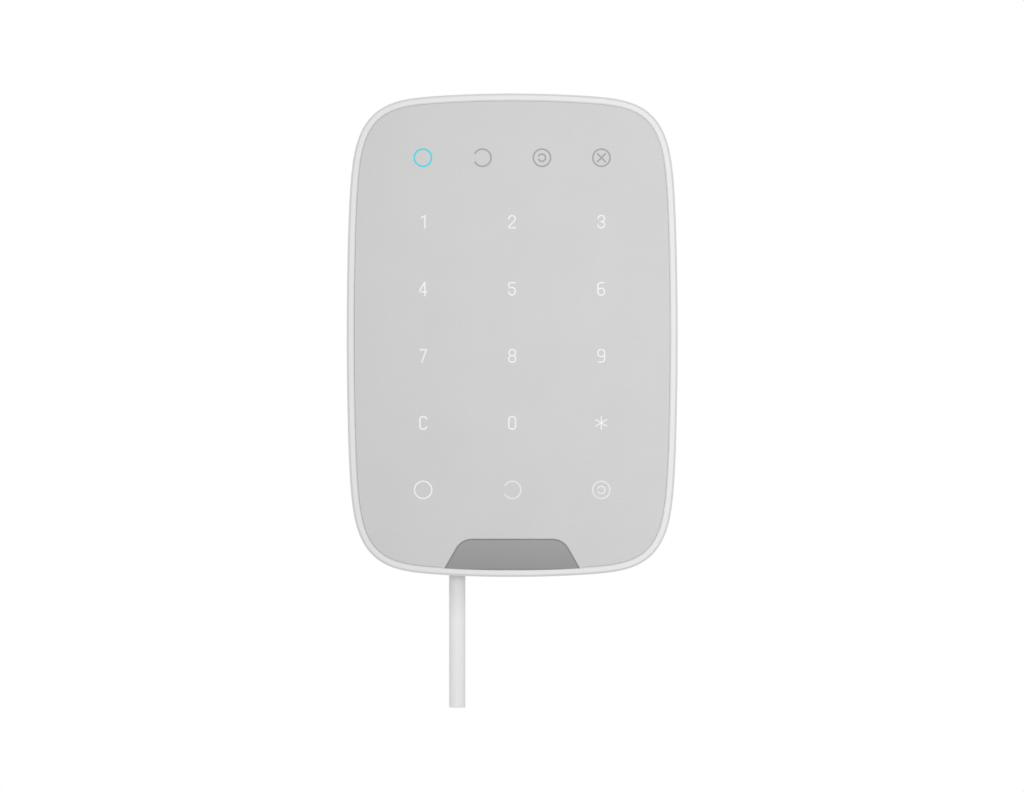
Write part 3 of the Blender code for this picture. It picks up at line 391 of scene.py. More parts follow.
def quarter(steps):
    """One quarter of the outline, from the side to the top, with its normals.

    The bend is a share of its most, and changes in two logistic steps. Its running sum,
    scaled to a right angle, is the heading, and the running sums of the heading's sine
    and cosine, scaled to the half sizes, are the line. Half of the points are shared
    out by the way gone and half by the angle turned, so the corner gets enough.
    """
    s = np.linspace(0, 1, 2001)
    rise, fall = (1 / (1 + np.exp((at - s) / wide)) for at, wide in (BEND_RISE, BEND_FALL))
    heading = summed(SIDE_BEND + (1 - SIDE_BEND) * rise - (1 - TOP_BEND) * fall)
    heading /= heading[-1]
    across, up = summed(np.sin(heading * np.pi / 2)), summed(np.cos(heading * np.pi / 2))
    place = np.stack([HALF_W * (1 - across / across[-1]), HALF_H * up / up[-1]], 1)
    way = np.gradient(place, axis=0)
    way[0], way[-1] = (0, 1), (-1, 0)
    way /= np.linalg.norm(way, axis=1, keepdims=True)
    chosen = np.interp(np.linspace(0, 2, steps + 1), s + heading, s)
    x, z, way_x, way_z = (np.interp(chosen, s, v) for v in (*place.T, *way.T))
    return np.stack([x, z], 1), np.stack([way_z, -way_x], 1)


def around(steps=112):
    """The whole outline, anticlockwise from the right, with its normals."""
    right, right_n = quarter(steps)
    flip = np.array([-1, 1])
    half = np.concatenate([right, right[-2::-1] * flip])
    half_n = np.concatenate([right_n, right_n[-2::-1] * flip])
    return np.concatenate([half, -half[1:-1]]), np.concatenate([half_n, -half_n[1:-1]])


line, line_n = around()
print("outline points:", len(line), "reach, mm:", line.max(0).round(2))

# %% [markdown]
# ## The housing
# One moulding makes the rim round the face, the skirt down to the wall and the inner
# ledge that the panel is bonded to. It is injection moulded, so its edges are small
# radii and its skirt leans in a little to leave the tool. Here its section is carried
# round the outline, and the skirt's back edge rises over the cable and over the
# fixing screw's tab to leave their notches.

# %% Where the skirt's back edge stands
SKIRT_BACK = 0.8
NOTCH_HALF, NOTCH_TOP = 5.5, 8.2
THROAT_R = CABLE_R + 0.3
FOOT_HALF, FOOT_RISE = 30.0, 2.0


def with_columns(points, normals, xs):
    """Adds columns on the lower edge at the given x, where a notch starts or ends."""
    foot = (points[:, 1] < -HALF_H + FOOT_RISE) & (np.abs(points[:, 0]) < FOOT_HALF)
    low = points[foot]
    order = np.argsort(low[:, 0])
    new = np.stack([xs, np.interp(xs, low[order, 0], low[order, 1])], 1)
    new_n = np.tile([0.0, -1.0], (len(xs), 1))
    both = np.concatenate([points, new])
    both_n = np.concatenate([normals, new_n])
    turn = np.arctan2(both[:, 1], both[:, 0]) % (2 * np.pi)
    order = np.argsort(turn, kind="stable")
    return both[order], both_n[order]


def back_edge(points):
    """Depth of the skirt's back edge: level, but raised over the tab and the cable."""
    x, z = points.T
    low = z < 0
    depth = np.full(len(x), SKIRT_BACK)
    depth = np.where(low & (np.abs(x) <= NOTCH_HALF), NOTCH_TOP, depth)
    across = np.clip(1 - ((x - CABLE_X) / THROAT_R) ** 2, 0, 1)
    arch = CABLE_DEPTH + THROAT_R * np.sqrt(across)
    return np.where(low & (np.abs(x - CABLE_X) <= THROAT_R), arch, depth)


NOTCH_STEP = 0.02
arch_x = CABLE_X + THROAT_R * np.sin(np.linspace(-np.pi / 2, np.pi / 2, 25))
notch_x = np.concatenate([
    [-NOTCH_HALF - NOTCH_STEP, -NOTCH_HALF, NOTCH_HALF, NOTCH_HALF + NOTCH_STEP],
    [CABLE_X - THROAT_R - NOTCH_STEP, CABLE_X + THROAT_R + NOTCH_STEP], arch_x,
])
skirt_line, skirt_n = with_columns(line, line_n, notch_x)
skirt_back = back_edge(skirt_line)
print("columns round the housing:", len(skirt_line))

# %% The housing's section, carried round
RIM, GROOVE_FLOOR, GROOVE_IN = 2.1, 13.55, 2.36
WALL, LEDGE_INSET = 2.2, 6.95
LEDGE_FRONT, LEDGE_BACK = 11.5, 10.3
LIP = 0.12
SKIRT_TAPER, TAPER_FROM = 1.0, 8.72
# the rim's outer edge: a small radius, a steep flat and a crisp turn to the front
EDGE = np.array([
    (0, 12.25), (0.004, 12.33), (0.02, 12.4), (0.045, 12.47), (0.28, 13.02), (0.54, 13.66),
    (0.58, 13.76), (0.63, 13.86), (0.7, 13.94), (0.78, 13.985), (0.88, 14.0),
])


def draft(depth):
    """How far the skirt leans in: a share of the way to the wall, to the power 1.5."""
    share = np.clip((TAPER_FROM - depth) / (TAPER_FROM - SKIRT_BACK), 0, 1)
    return SKIRT_TAPER * share**1.5


def section():
    """Insets and depths of the section: skirt, edge, lip, groove, ledge, inner wall.

    The third value is how much of the row's place follows the skirt's back edge: one
    at the edge itself, nothing from the ledge forward.
    """
    up = np.linspace(0, 1, 10)[:-1]
    skirt = np.stack([np.full(9, -1.0), SKIRT_BACK + (EDGE[0, 1] - SKIRT_BACK) * up, 1 - up], 1)
    edge = np.column_stack([EDGE, np.zeros(len(EDGE))])
    turn = np.linspace(0, np.pi / 2, 5)
    lip_arc = np.stack([
        RIM - LIP + LIP * np.sin(turn), DEPTH - LIP + LIP * np.cos(turn), 0 * turn
    ], 1)
    ledge = np.array([
        (RIM, GROOVE_FLOOR, 0), (GROOVE_IN, GROOVE_FLOOR, 0), (GROOVE_IN, LEDGE_FRONT, 0),
        (LEDGE_INSET, LEDGE_FRONT, 0), (LEDGE_INSET, LEDGE_BACK, 0), (WALL, LEDGE_BACK, 0),
    ])
    down = np.linspace(0.15, 1, 7)
    inner = np.stack([
        np.full(7, WALL), LEDGE_BACK + (SKIRT_BACK - LEDGE_BACK) * down, down
    ], 1)
    return np.concatenate([skirt, edge, lip_arc, ledge, inner])


def carried(rows, points, normals, back):
    """The section round the outline: place less normal times inset, at each depth."""
    inset, depth, follow = (a[:, None] for a in rows.T)
    depth = depth + follow * (back[None, :] - SKIRT_BACK)
    inset = np.where(inset < 0, draft(depth), inset)
    x = points[None, :, 0] - normals[None, :, 0] * inset
    z = points[None, :, 1] - normals[None, :, 1] * inset
    return stand(x, z, depth)


housing_grid = carried(section(), skirt_line, skirt_n, skirt_back)
housing = piece("housing_shell", [(housing_grid, True, True, None)])
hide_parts("front_frame")
print("housing faces:", len(housing.data.polygons))

# %% [markdown]
# ## Screw posts behind the ledge
# Six short posts under the ledge take the screws that hold the back on. They are
# turned from a profile, which is how a pin in the mould makes them.

# %% Posts
SCREW_PLACES = [
    (sx * x, z) for sx in (-1, 1) for x, z in ((27.0, 67.6), (45.35, 0.0), (30.0, -67.3))
]


def turned(x, z, radius, depth, columns=28):
    """A profile of radius and depth, spun about a line out from the wall."""
    turn = np.linspace(0, 2 * np.pi, columns, endpoint=False)
    radius, depth = (np.asarray(a, float)[:, None] for a in (radius, depth))
    return stand(x + radius * np.cos(turn), z + radius * np.sin(turn), depth + 0 * turn)


# up the outside, across the top, down the screw's hole and back over the foot
POST_RADII, POST_DEPTHS = [3.0, 3.0, 1.1, 1.1, 2.8], [9.7, 10.5, 10.5, 9.6, 9.6]
cuffs = []
for x, z in SCREW_PLACES:
    ring = turned(x, z, POST_RADII, POST_DEPTHS)
    cuffs.append((ring, True, True, None))
posts = piece("housing_posts", cuffs)
print("posts:", len(cuffs))

# %% [markdown]
# ## The touch panel
# The panel is a flat sheet of plastic, printed light grey from behind, with a narrow
# shadow line round it and a notch for the badge at its foot. A cut in a rectangle
# would need a boolean; here the outline itself takes the notch's path, and rows step
# from a pole in the middle out to the rounded edge.

# %% A plate from any outline


def offset_normals(points):
    """Unit normals of a closed line that runs anticlockwise, with mitred corners."""
    before, after = np.roll(points, 1, 0), np.roll(points, -1, 0)
    a = points - before
    b = after - points
    a /= np.linalg.norm(a, axis=1, keepdims=True)
    b /= np.linalg.norm(b, axis=1, keepdims=True)
    na, nb = np.stack([a[:, 1], -a[:, 0]], 1), np.stack([b[:, 1], -b[:, 0]], 1)
    mid = na + nb
    return mid / np.clip((mid * na).sum(1, keepdims=True), 0.5, None)


FLAT_IN = 0.08


def flat_plate(points, centre, near, far, edge, flange=None, rows=5):
    """A closed plate: rows scale the line to its middle, and its front edge is round.

    A flange is a step out from the line, as far as its width, up to its depth, which
    may differ from point to point.
    """
    normals = offset_normals(points)
    turn = np.linspace(0, np.pi / 2, rows)
    insets = np.concatenate([[0.0], edge * (1 - np.cos(turn)), [edge + FLAT_IN]])
    depths = np.concatenate([[near], far - edge + edge * np.sin(turn), [far]])
    if flange:
        wide, step = flange
        insets = np.concatenate([[-wide, -wide, 0.0], insets[1:]])
        depths = [near, step, step, *depths[1:]]
    rings = [stand(*(points - normals * i).T, d) for i, d in zip(insets, depths)]
    shares = np.array([0.97, 0.9, 0.75, 0.5, 0.25])
    inner = points - normals * (edge + FLAT_IN)
    rings += [stand(*(centre + (inner - centre) * s).T, far) for s in shares]
    outer = points - normals * insets[0]
    back = [stand(*(centre + (outer - centre) * s).T, near) for s in shares[::-1]]
    grid = np.stack(back + rings)
    ends = [stand(*centre, near), stand(*centre, far)]
    return grid, False, True, ends


print("plates close at two poles")

# %% The badge's outline and the panel's notch
PANEL_INSET, GAP = 2.42, 0.26
BADGE_RISE, BADGE_TOP_HALF, BADGE_FOOT_HALF, BADGE_ROUND = 11.6, 15.65, 22.25, 5.5
FOOT_Z = -HALF_H + PANEL_INSET


def badge_line(grow):
    """Upper edge and sides of the badge from left foot to right foot, grown by grow."""
    lean = (BADGE_FOOT_HALF - BADGE_TOP_HALF) / BADGE_RISE
    top = -HALF_H + BADGE_RISE + grow
    half = BADGE_TOP_HALF + grow * math.hypot(1, lean) - grow * lean
    tilt = math.atan(lean)
    radius = BADGE_ROUND + grow
    reach = radius * math.tan((math.pi / 2 - tilt) / 2)
    sweep = np.linspace(math.pi / 2, tilt, 25)
    x, z = half - reach + radius * np.cos(sweep), top - radius + radius * np.sin(sweep)
    bend = np.stack([x, z], 1)
    foot = np.array([[half + (top - FOOT_Z) * lean, FOOT_Z]])
    side = bend[-1] + (foot - bend[-1]) * np.linspace(0, 1, 9)[1:, None]
    right = np.concatenate([bend, side])
    flat = np.linspace(-bend[0, 0], bend[0, 0], 17)[1:-1]
    middle = np.stack([flat, np.full(len(flat), top)], 1)
    return np.concatenate([right[::-1] * (-1, 1), middle, right])


panel_round = line - line_n * PANEL_INSET
notch = badge_line(GAP)
NOTCH_CLEAR = 0.2  # no point of the line stays this close to the notch's ends
half_notch = notch[-1, 0]
over_notch = np.abs(panel_round[:, 0]) < half_notch + NOTCH_CLEAR
keep = ~((panel_round[:, 1] < 0) & over_notch)
turn = np.arctan2(panel_round[:, 1], panel_round[:, 0]) % (2 * np.pi)
lower_left = keep & (turn < 1.5 * np.pi)
lower_right = keep & (turn >= 1.5 * np.pi)
panel_line = np.concatenate([panel_round[lower_left], notch, panel_round[lower_right]])
print("panel line points:", len(panel_line), "notch half width, mm:", round(half_notch, 2))

# %% The panel and the badge
PANEL_BACK, PANEL_FRONT, PANEL_EDGE = 12.4, 13.95, 0.12
BADGE_FRONT, BADGE_EDGE, BADGE_FLANGE, BADGE_MIDDLE = 13.84, 0.2, 0.2, 6.5
SHADOW_FLOOR, SHADOW_RISE = 13.5, 0.25
face_plate = flat_plate(panel_line, np.zeros(2), PANEL_BACK, PANEL_FRONT, PANEL_EDGE)
touch_face = piece("touch_face", [face_plate])
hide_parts("front_panel")
upper = badge_line(0)
foot_x = np.linspace(upper[-1, 0], upper[0, 0], 33)[1:-1]
foot = np.stack([foot_x, np.full(len(foot_x), FOOT_Z)], 1)
badge_points = np.concatenate([upper, foot])[::-1]
badge_centre = np.array([0, -HALF_H + BADGE_MIDDLE])
# the shadow line is deep along the top and shallow at the sides and the foot
down = np.clip((-HALF_H + BADGE_RISE - badge_points[:, 1]) / BADGE_ROUND, 0, 1)
flange = (BADGE_FLANGE, SHADOW_FLOOR + SHADOW_RISE * down)
bare_plate = flat_plate(badge_points, badge_centre, PANEL_BACK, BADGE_FRONT, BADGE_EDGE, flange)
badge = piece("badge_plate", [bare_plate])
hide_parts("badge_insert")
print("panel and badge faces:", len(touch_face.data.polygons), len(badge.data.polygons))

# %% [markdown]
# ## Digits, rings and lamps
# Each key is a thin line drawing that a lamp behind the panel lights up. Printing
# could be an image, but a line is simply a path with a width: every mark is a band
# a few hundredths of a millimetre thick, laid on the panel with round ends.

# %% A band along a path
PRINT_THICK, PATH_STEP = 0.06, 0.12


def band(points, width, front, closed=False):
    """A flat band: the path, a half width to each side, round past both ends.

    The ends add steps at the sine of a quarter turn past the path, with half widths
    that fall with its cosine.
    """
    points = np.asarray(points, float)
    way = np.gradient(points, axis=0) if not closed else (
        np.roll(points, -1, 0) - np.roll(points, 1, 0)
    )
    way /= np.linalg.norm(way, axis=1, keepdims=True)
    half = np.full(len(points), width / 2)
    if not closed:
        turn = np.radians([80, 60, 40, 20])
        reach, thin = width / 2 * np.sin(turn), width / 2 * np.cos(turn)
        first = points[0] - way[0] * reach[:, None]
        last = points[-1] + way[-1] * reach[::-1, None]
        points = np.concatenate([first, points, last])
        way = np.concatenate([np.tile(way[0], (4, 1)), way, np.tile(way[-1], (4, 1))])
        half = np.concatenate([thin, half, thin[::-1]])
    side = np.stack([way[:, 1], -way[:, 0]], 1) * half[:, None]
    left, right = points - side, points + side
    back = front - PRINT_THICK
    rows = [stand(*left.T, front), stand(*right.T, front), stand(*right.T, back),
            stand(*left.T, back)]
    return np.stack(rows, 1), closed


def arc(centre, rx, rz, start, end, steps=24):
    """Points of an ellipse from one angle to another, in degrees from +x to +z."""
    turn = np.radians(np.linspace(start, end, steps))
    return np.stack([centre[0] + rx * np.cos(turn), centre[1] + rz * np.sin(turn)], 1)


def joined(*parts):
    """One path through arcs and corner points, cut into short steps."""
    points = np.concatenate([np.atleast_2d(np.asarray(p, float)) for p in parts])
    gaps = np.linalg.norm(np.diff(points, axis=0), axis=1)
    points = points[np.concatenate([[True], gaps > 0.01])]
    length = np.concatenate([[0], np.cumsum(np.linalg.norm(np.diff(points, axis=0), axis=1))])
    steps = np.linspace(0, length[-1], max(8, int(length[-1] / PATH_STEP)))
    return np.stack([np.interp(steps, length, points[:, i]) for i in (0, 1)], 1)


def loop(centre, half_w, half_h, radius):
    """A closed rectangle with round corners: four quarter arcs, in even steps."""
    x, z = centre
    w, h = half_w - radius, half_h - radius
    corners = [arc((x + sx * w, z + sz * h), radius, radius, start, start + 90, 12)
               for sx, sz, start in ((1, 1, 0), (-1, 1, 90), (-1, -1, 180), (1, -1, 270))]
    path = joined(*corners, corners[0][0])
    return path[:-1]


print("a band's thickness, mm:", PRINT_THICK)

# %% The drawings, round each key's middle
RING_R = 2.67
DIGITS = {
    "1": [joined((0.55, -1.9), (0.55, 1.9)), joined((0.55, 1.9), (-0.52, 1.3))],
    "2": [joined(arc((-0.06, 0.88), 1.0, 1.08, 178, -12), (0.8, 0.42), (-1.02, -1.42),
                 (-1.02, -1.86), (0.98, -1.86))],
    "3": [joined(arc((0, 0.99), 1.0, 0.98, 178, -60), (0.26, 0.03), (-0.1, 0.03)),
          joined((0.26, 0.03), arc((0, -0.93), 1.02, 0.95, 56, -178))],
    "4": [joined((0.48, 2.0), (-1.3, -0.9), (-1.3, -0.93), (1.15, -0.93)),
          joined((0.53, 2.0), (0.53, -2.0))],
    "5": [joined((0.88, 1.88), (-1.0, 1.88), (-1.04, 0.22), (-0.55, 0.4),
                 arc((-0.08, -0.72), 1.03, 1.18, 95, -172))],
    "6": [joined((0.82, 1.9), arc((-0.17, 1.04), 0.87, 0.86, 90, 180), (-1.04, -1.05),
                 arc((-0.03, -1.05), 1.02, 0.9, 180, 360), (0.99, -0.62),
                 arc((0.21, -0.7), 0.78, 0.86, 0, 90)),
          joined((0.3, 0.16), (-0.35, 0.14), (-0.82, 0.02), (-1.04, -0.3))],
    "7": [joined((-0.95, 1.9), (1.0, 1.9)), joined((1.0, 1.9), (-0.4, -1.94))],
    "8": [loop((0, 1.01), 0.98, 0.93, 0.82), loop((0, -0.93), 1.05, 1.0, 0.86)],
    "9": [loop((0, 0.84), 1.03, 1.1, 0.88),
          joined((1.03, 0.84), (1.03, -1.05), arc((0.2, -1.05), 0.83, 0.84, 0, -90),
                 (-0.86, -1.89))],
    "C": [joined(arc((0.2, 1.07), 0.86, 0.86, 12, 90), arc((-0.14, 1.07), 0.86, 0.86, 90, 180),
                 arc((-0.14, -1.07), 0.86, 0.86, 180, 270),
                 arc((0.2, -1.07), 0.86, 0.86, -90, -14))],
    "0": [loop((0, 0), 1.03, 1.92, 0.88)],
    "*": [joined((0, -1.95), (0, 1.95)), joined((-1.7, -1.0), (1.7, 1.0)),
          joined((-1.7, 1.0), (1.7, -1.0))],
}
RINGS = {
    "full": [arc((0, 0), RING_R, RING_R, 0, 354, 60)],
    "open": [arc((0, 0), RING_R, RING_R, -150, 150, 52)],
    "ringed": [arc((0, 0), RING_R, RING_R, 0, 354, 60), arc((0, 0), 1.12, 1.12, -153, 153, 36)],
    "crossed": [arc((0, 0), RING_R, RING_R, 0, 354, 60), joined((-1.22, -1.22), (1.22, 1.22)),
                joined((-1.22, 1.22), (1.22, -1.22))],
}
CLOSED = {("8", 0), ("8", 1), ("9", 0), ("0", 0), ("full", 0), ("ringed", 0), ("crossed", 0)}
print("drawings:", len(DIGITS) + len(RINGS))

# %% Lay the drawings on the panel
KEY_X = (-27.6, 0.0, 27.6)
KEY_Z = (35.12, 14.35, -6.42, -27.19, -47.96)
LAMP_X = (-27.66, -9.22, 9.22, 27.66)
LAMP_Z = 54.98
STROKE = {"2": 0.42, "3": 0.39, "4": 0.5, "6": 0.42, "8": 0.42, "9": 0.39, "C": 0.52, "0": 0.46,
          "*": 0.35}
PLAIN_STROKE, FOOT_STROKE, LIT_STROKE, GREY_STROKE = 0.44, 0.45, 0.52, 0.5
PRINT, PRINT_STEP = PANEL_FRONT + 0.02, 0.003


def mark(name, x, z, width):
    """The bands of one drawing, each a hair in front of the last, so none coincide."""
    made = []
    for k, strokes in enumerate((DIGITS.get(name) or RINGS[name])):
        closed = (name, k) in CLOSED
        grid, wrap = band(strokes + np.array([x, z]), width, PRINT + PRINT_STEP * k, closed)
        made.append((grid, wrap, True, None))
    return made


white_marks = []
for row, names in zip(KEY_Z, ("123", "456", "789", "C0*")):
    for x, name in zip(KEY_X, names):
        white_marks += mark(name, x, row, STROKE.get(name, PLAIN_STROKE))
white_marks += mark("full", KEY_X[0], KEY_Z[-1], FOOT_STROKE)
foot_marks = []
for x, name in zip(KEY_X[1:], ("open", "ringed")):
    foot_marks += mark(name, x, KEY_Z[-1], FOOT_STROKE)
print("bands in white:", len(white_marks), "and fainter:", len(foot_marks))

# %% Close the open bands and make the pieces


def capped(grids):
    """Open bands get a pole in the middle of each end's small square."""
    done = []
    for points, wrap_rows, wrap_columns, _ in grids:
        poles = None if wrap_rows else [points[0].mean(0), points[-1].mean(0)]
        done.append((points, wrap_rows, wrap_columns, poles))
    return done


key_print = piece("key_print", capped(white_marks))
foot_print = piece("foot_print", capped(foot_marks))
lit_ring = piece("lit_ring", capped(mark("full", LAMP_X[0], LAMP_Z, LIT_STROKE)))
grey_marks = []
for x, name in zip(LAMP_X[1:], ("open", "ringed", "crossed")):
    grey_marks += mark(name, x, LAMP_Z, GREY_STROKE)
lamp_print = piece("lamp_print", capped(grey_marks))
PRINTS = (key_print, foot_print, lit_ring, lamp_print)
print("print faces:", [len(o.data.polygons) for o in PRINTS])

# %% [markdown]
# ## The tamper spring
# A short coil of spring wire keeps the tamper pin pressed on the wall plate. Its lower
# end moves with the pin and its upper end stays on the switch; here it is drawn at one
# length, with an even climb. A helix is a circle that climbs as it turns, and the wire's
# own ring of points is carried along it.

# %% A coil at one length
SPRING_X, SPRING_Z = 20.0, -30.0
SPRING_R, SPRING_WIRE_R, SPRING_TURNS = 2.1, 0.15, 1.5
SPRING_LOW, SPRING_HIGH = 5.45, 6.65
turn = np.linspace(0, 2 * np.pi * SPRING_TURNS, 73)[:, None]
ring = np.linspace(0, 2 * np.pi, 10, endpoint=False)
reach = SPRING_R + SPRING_WIRE_R * np.cos(ring)
climb = SPRING_LOW + (SPRING_HIGH - SPRING_LOW) * turn / turn[-1]
coil = stand(
    SPRING_X + reach * np.cos(turn), SPRING_Z + reach * np.sin(turn),
    climb + SPRING_WIRE_R * np.sin(ring),
)
spring = piece("spring_coil", [(coil, False, True, [coil[0].mean(0), coil[-1].mean(0)])])
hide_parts("tamper_spring")
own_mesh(spring)
print("spring wire, mm:", round(2 * math.pi * SPRING_R * SPRING_TURNS, 1))

# %% [markdown]
# ## Finishes
# Each finish starts from what the real material is and how its surface was made.
# Moulded plastic has the fine spark texture of its tool; the panel is printed behind
# a satin film; the badge is a painted plate. A picture of each could be wrapped round
# the pieces, but noise on Object coordinates, in millimetres, has no seams and keeps
# its real grain on every piece.

# %% A finish from its colour, shine and grain
MATERIALS = {}
CLOUD_SCALE, CLOUD_SHARE = 60.0, 0.35  # clouds of about 17 mm, and their part in the colour
NOISE_LOW, NOISE_HIGH, GLOSS_SPREAD = 0.3, 0.7, 0.05


def finish(name, code, roughness, metallic=0.0, grain_mm=0.4, shade=0.03, bump_mm=0.004,
           ior=1.49, fade=None, **sockets):
    """A material: colour varied by a noise of this grain, and the same noise as bump.

    A fade is the share of the colour left at one height and the height where it is
    whole again, in mm.
    """
    made = bpy.data.materials.new(name)
    made.use_nodes = True
    tree = made.node_tree
    tree.nodes.clear()
    place = add_node(tree, "ShaderNodeTexCoord")
    grain = add_node(
        tree, "ShaderNodeTexNoise", {"Vector": place.outputs["Object"]},
        scale=1 / (grain_mm * MM), detail=3.0, roughness=0.6,
    )
    cloud = add_node(
        tree, "ShaderNodeTexNoise", {"Vector": place.outputs["Object"]}, scale=CLOUD_SCALE,
        detail=2.0,
    )
    blend = add_node(
        tree, "ShaderNodeMix", {"A": grain.outputs[0], "B": cloud.outputs[0]}, data_type="FLOAT",
    )
    blend.inputs[0].default_value = CLOUD_SHARE
    base = np.array(linear(code))
    low, high = base * (1 - shade), np.minimum(base * (1 + shade), 1)
    low[3] = high[3] = 1
    ramp = add_node(tree, "ShaderNodeValToRGB", {"Fac": blend.outputs[0]})
    for stop, at, shown_colour in zip(
        ramp.color_ramp.elements, (NOISE_LOW, NOISE_HIGH), (low, high)
    ):
        stop.position, stop.color = at, shown_colour.tolist()
    colour = ramp.outputs[0]
    # a fade paints a shade into the colour: darkest at one height, gone by another
    if fade:
        least, low_z, high_z = fade
        axes = add_node(tree, "ShaderNodeSeparateXYZ", {"Vector": place.outputs["Object"]})
        share = add_node(
            tree, "ShaderNodeMapRange", {"Value": axes.outputs["Z"]}, from_min=low_z * MM,
            from_max=high_z * MM, to_min=least, to_max=1.0,
        )
        scaled = add_node(
            tree, "ShaderNodeVectorMath", {0: colour, "Scale": share.outputs[0]},
            operation="SCALE",
        )
        colour = scaled.outputs[0]
    bump = add_node(
        tree, "ShaderNodeBump", {"Height": grain.outputs[0]}, strength=1.0,
        distance=bump_mm * MM,
    )
    gloss = add_node(
        tree, "ShaderNodeMapRange", {"Value": grain.outputs[0]}, from_min=NOISE_LOW,
        from_max=NOISE_HIGH, to_min=roughness - GLOSS_SPREAD, to_max=roughness + GLOSS_SPREAD,
    )
    shader = add_node(
        tree, "ShaderNodeBsdfPrincipled",
        {"Base Color": colour, "Roughness": gloss.outputs[0], "Normal": bump.outputs[0]},
        metallic=metallic, **({} if metallic else {"ior": ior}), **sockets,
    )
    add_node(tree, "ShaderNodeOutputMaterial", {"Surface": shader.outputs[0]})
    MATERIALS[name] = made
    return made


# injection moulded ASA, spark textured: a dry, even white
shell_white = finish("asa_moulded_white", "#F2F2F2", 0.6, grain_mm=0.35, shade=0.012,
                     specular_ior_level=0.25)
# polycarbonate film printed grey from behind: satin, with a faint print grain
panel_film = finish("printed_film_grey", "#D1D1D1", 0.36, grain_mm=0.7, shade=0.035, ior=1.58,
                    bump_mm=0.001)
# satin paint over a plain plate: a calm mid grey, with a painted shade that darkens it towards
# its foot
badge_paint = finish("satin_paint_grey", "#9E9E9E", 0.4, grain_mm=0.5, shade=0.03, bump_mm=0.002,
                     fade=(0.86, -72.6, -64.5))
# translucent white print, lit from behind
print_white = finish("lit_print_white", "#F2F2F2", 0.5, shade=0.01,
                     emission_color=linear("#FFFFFF"), emission_strength=0.06)
# the same print with its lamps turned low
print_low = finish("dimmed_print_white", "#EFEFEF", 0.5, shade=0.01)
# prints of the lamps: grey where they are off, and cyan where one shines through
print_grey = finish("unlit_print_grey", "#A8A8A8", 0.5, shade=0.02)
print_cyan = finish("lit_print_cyan", "#30B2C2", 0.5, shade=0.02,
                    emission_color=linear("#3AD2E4"), emission_strength=0.35)
# plasticised PVC jacket: a soft shine, and a painted shade that greys it up near the housing,
# where the housing overhangs it
jacket_pvc = finish("pvc_jacket_white", "#FAFAFA", 0.5, grain_mm=0.6, shade=0.012, ior=1.53,
                    fade=(0.81, -76.0, -89.0), specular_ior_level=0.25)
print("finishes so far:", len(MATERIALS))

# %% Finishes for the back and the inside
by_slot = {
    "housing_white": shell_white,
    "panel_grey": panel_film,
    "badge_grey": badge_paint,
    "jacket_white": jacket_pvc,
    # the same ABS as the housing, from a plainer tool
    "cover_white": finish("abs_moulded_back", "#DEDEDC", 0.55, grain_mm=0.5, shade=0.015),
    "bracket_white": finish("abs_moulded_bracket", "#E2E2DF", 0.55, grain_mm=0.5, shade=0.015),
    "adhesive": finish("acrylic_foam_tape", "#F0EFEA", 0.7, grain_mm=0.2, shade=0.03),
    "film": finish("polyester_film", "#E6EBEC", 0.25, grain_mm=1.0, shade=0.02),
    "mask_white": finish("polycarbonate_diffuser", "#F2F2F0", 0.45, shade=0.01),
    "board_green": finish("solder_mask_green", "#1F6B3A", 0.35, grain_mm=1.2, shade=0.08),
    "connector_ivory": finish("nylon_ivory", "#E3DCC6", 0.5, shade=0.02),
    "sounder_black": finish("ppe_sounder_black", "#1C1C1E", 0.45, shade=0.08),
    "chip_black": finish("epoxy_moulded_black", "#222224", 0.6, grain_mm=0.15, shade=0.1),
    "ferrite_grey": finish("ferrite_core", "#3C3C3E", 0.6, grain_mm=0.2, shade=0.12),
    "can_aluminium": finish("aluminium_can", "#C9CBCC", 0.3, metallic=1.0, shade=0.03),
    "switch_black": finish("pa66_switch_black", "#262628", 0.5, shade=0.06),
    "plunger_white": finish("acetal_turned_white", "#EFEFEB", 0.35, shade=0.012),
    "spring_steel": finish("spring_wire_steel", "#B9BBBD", 0.28, metallic=1.0, shade=0.05),
    "terminal_green": finish("pa66_terminal_green", "#2F9E57", 0.45, shade=0.04),
    "screw_steel": finish("zinc_plated_steel", "#C6C9CC", 0.3, metallic=1.0, shade=0.05),
    "wire_red": finish("pvc_core_red", "#C2332B", 0.4, shade=0.04),
    "wire_black": finish("pvc_core_black", "#232326", 0.4, shade=0.06),
    "wire_green": finish("pvc_core_green", "#2E8B4A", 0.4, shade=0.04),
    "wire_yellow": finish("pvc_core_yellow", "#E2BE2D", 0.4, shade=0.04),
    "tie_white": finish("nylon_tie_natural", "#E9E7DF", 0.4, shade=0.02),
    "led_white": finish("led_lens_white", "#F3F0DC", 0.25, shade=0.02),
}
print("finishes:", len(MATERIALS))

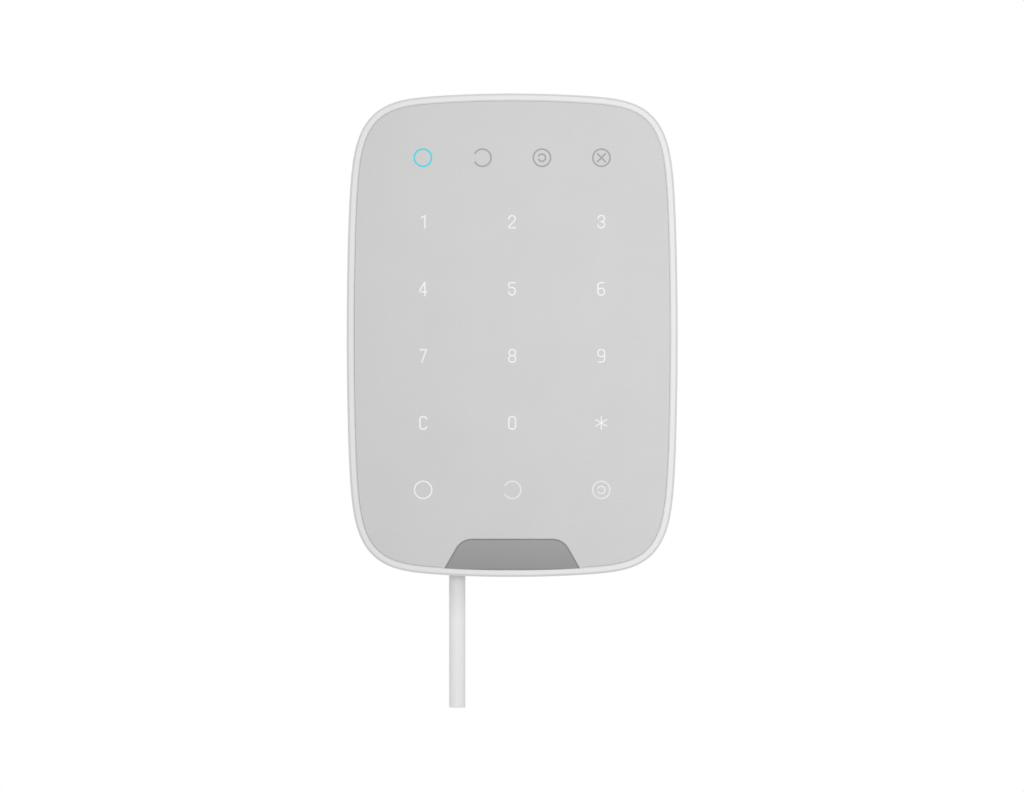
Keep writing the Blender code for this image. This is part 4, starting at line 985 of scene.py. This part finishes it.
# %% Give every solid and every new piece its finish
SLOT_OF = {n: node.data.materials[0].name.split(".")[0] for n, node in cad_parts.items()}
for name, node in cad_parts.items():
    for i in range(len(node.data.materials)):
        node.data.materials[i] = by_slot[SLOT_OF[name]]
for made, paint in zip(PRINTS, (print_white, print_low, print_cyan, print_grey)):
    made.data.materials.append(paint)
for made, label in (
    (jacket, "jacket_white"), (housing, "housing_white"), (posts, "housing_white"),
    (touch_face, "panel_grey"), (badge, "badge_grey"), (spring, "spring_steel"),
    *zip(stubs, core_names), *zip(core_wires, core_names),
):
    made.data.materials.append(by_slot[label])
print("slots in use:", len(set(SLOT_OF.values())))

# %% [markdown]
# ## Rounded edges for the solids that stay
# The wall bracket, the back and the screws keep the shapes of their solids. A real
# moulding has no knife edge anywhere, and its edges are what catches the light. They
# could be modelled again point by point, but a merged copy of each solid with a fine
# bevel gives the same edges in a line. The solid itself stays as it is.

# %% A copy of a solid with rounded edges


def edged(name, width_mm, body="keypad", flat_deg=30):
    """A merged copy of a solid with its flat triangles joined and its edges rounded."""
    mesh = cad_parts[name].data.copy()
    bm = bmesh.new()
    bm.from_mesh(mesh)
    bmesh.ops.remove_doubles(bm, verts=bm.verts, dist=0.001 * MM)
    bmesh.ops.dissolve_limit(
        bm, angle_limit=math.radians(0.5), verts=bm.verts, edges=bm.edges, delimit={"NORMAL"}
    )
    bm.to_mesh(mesh)
    bm.free()
    made = bpy.data.objects.new(f"{name}_edged", mesh)
    scene.collection.objects.link(made)
    mesh.shade_smooth()
    mesh.set_sharp_from_angle(angle=math.radians(flat_deg))
    bevel = made.modifiers.new("edges", "BEVEL")
    bevel.width = width_mm * MM
    bevel.segments = 2
    bevel.limit_method = "ANGLE"
    bevel.angle_limit = math.radians(flat_deg)
    bevel.use_clamp_overlap = True
    bevel.harden_normals = True
    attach(made, body)
    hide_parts(name)
    return made


EDGED = {"mounting_bracket": (0.25, "bracket"), "rear_cover": (0.2, "keypad")}
for name, (width, body) in EDGED.items():
    made = edged(name, width, body)
    print(made.name, "faces before its bevel:", len(made.data.polygons))
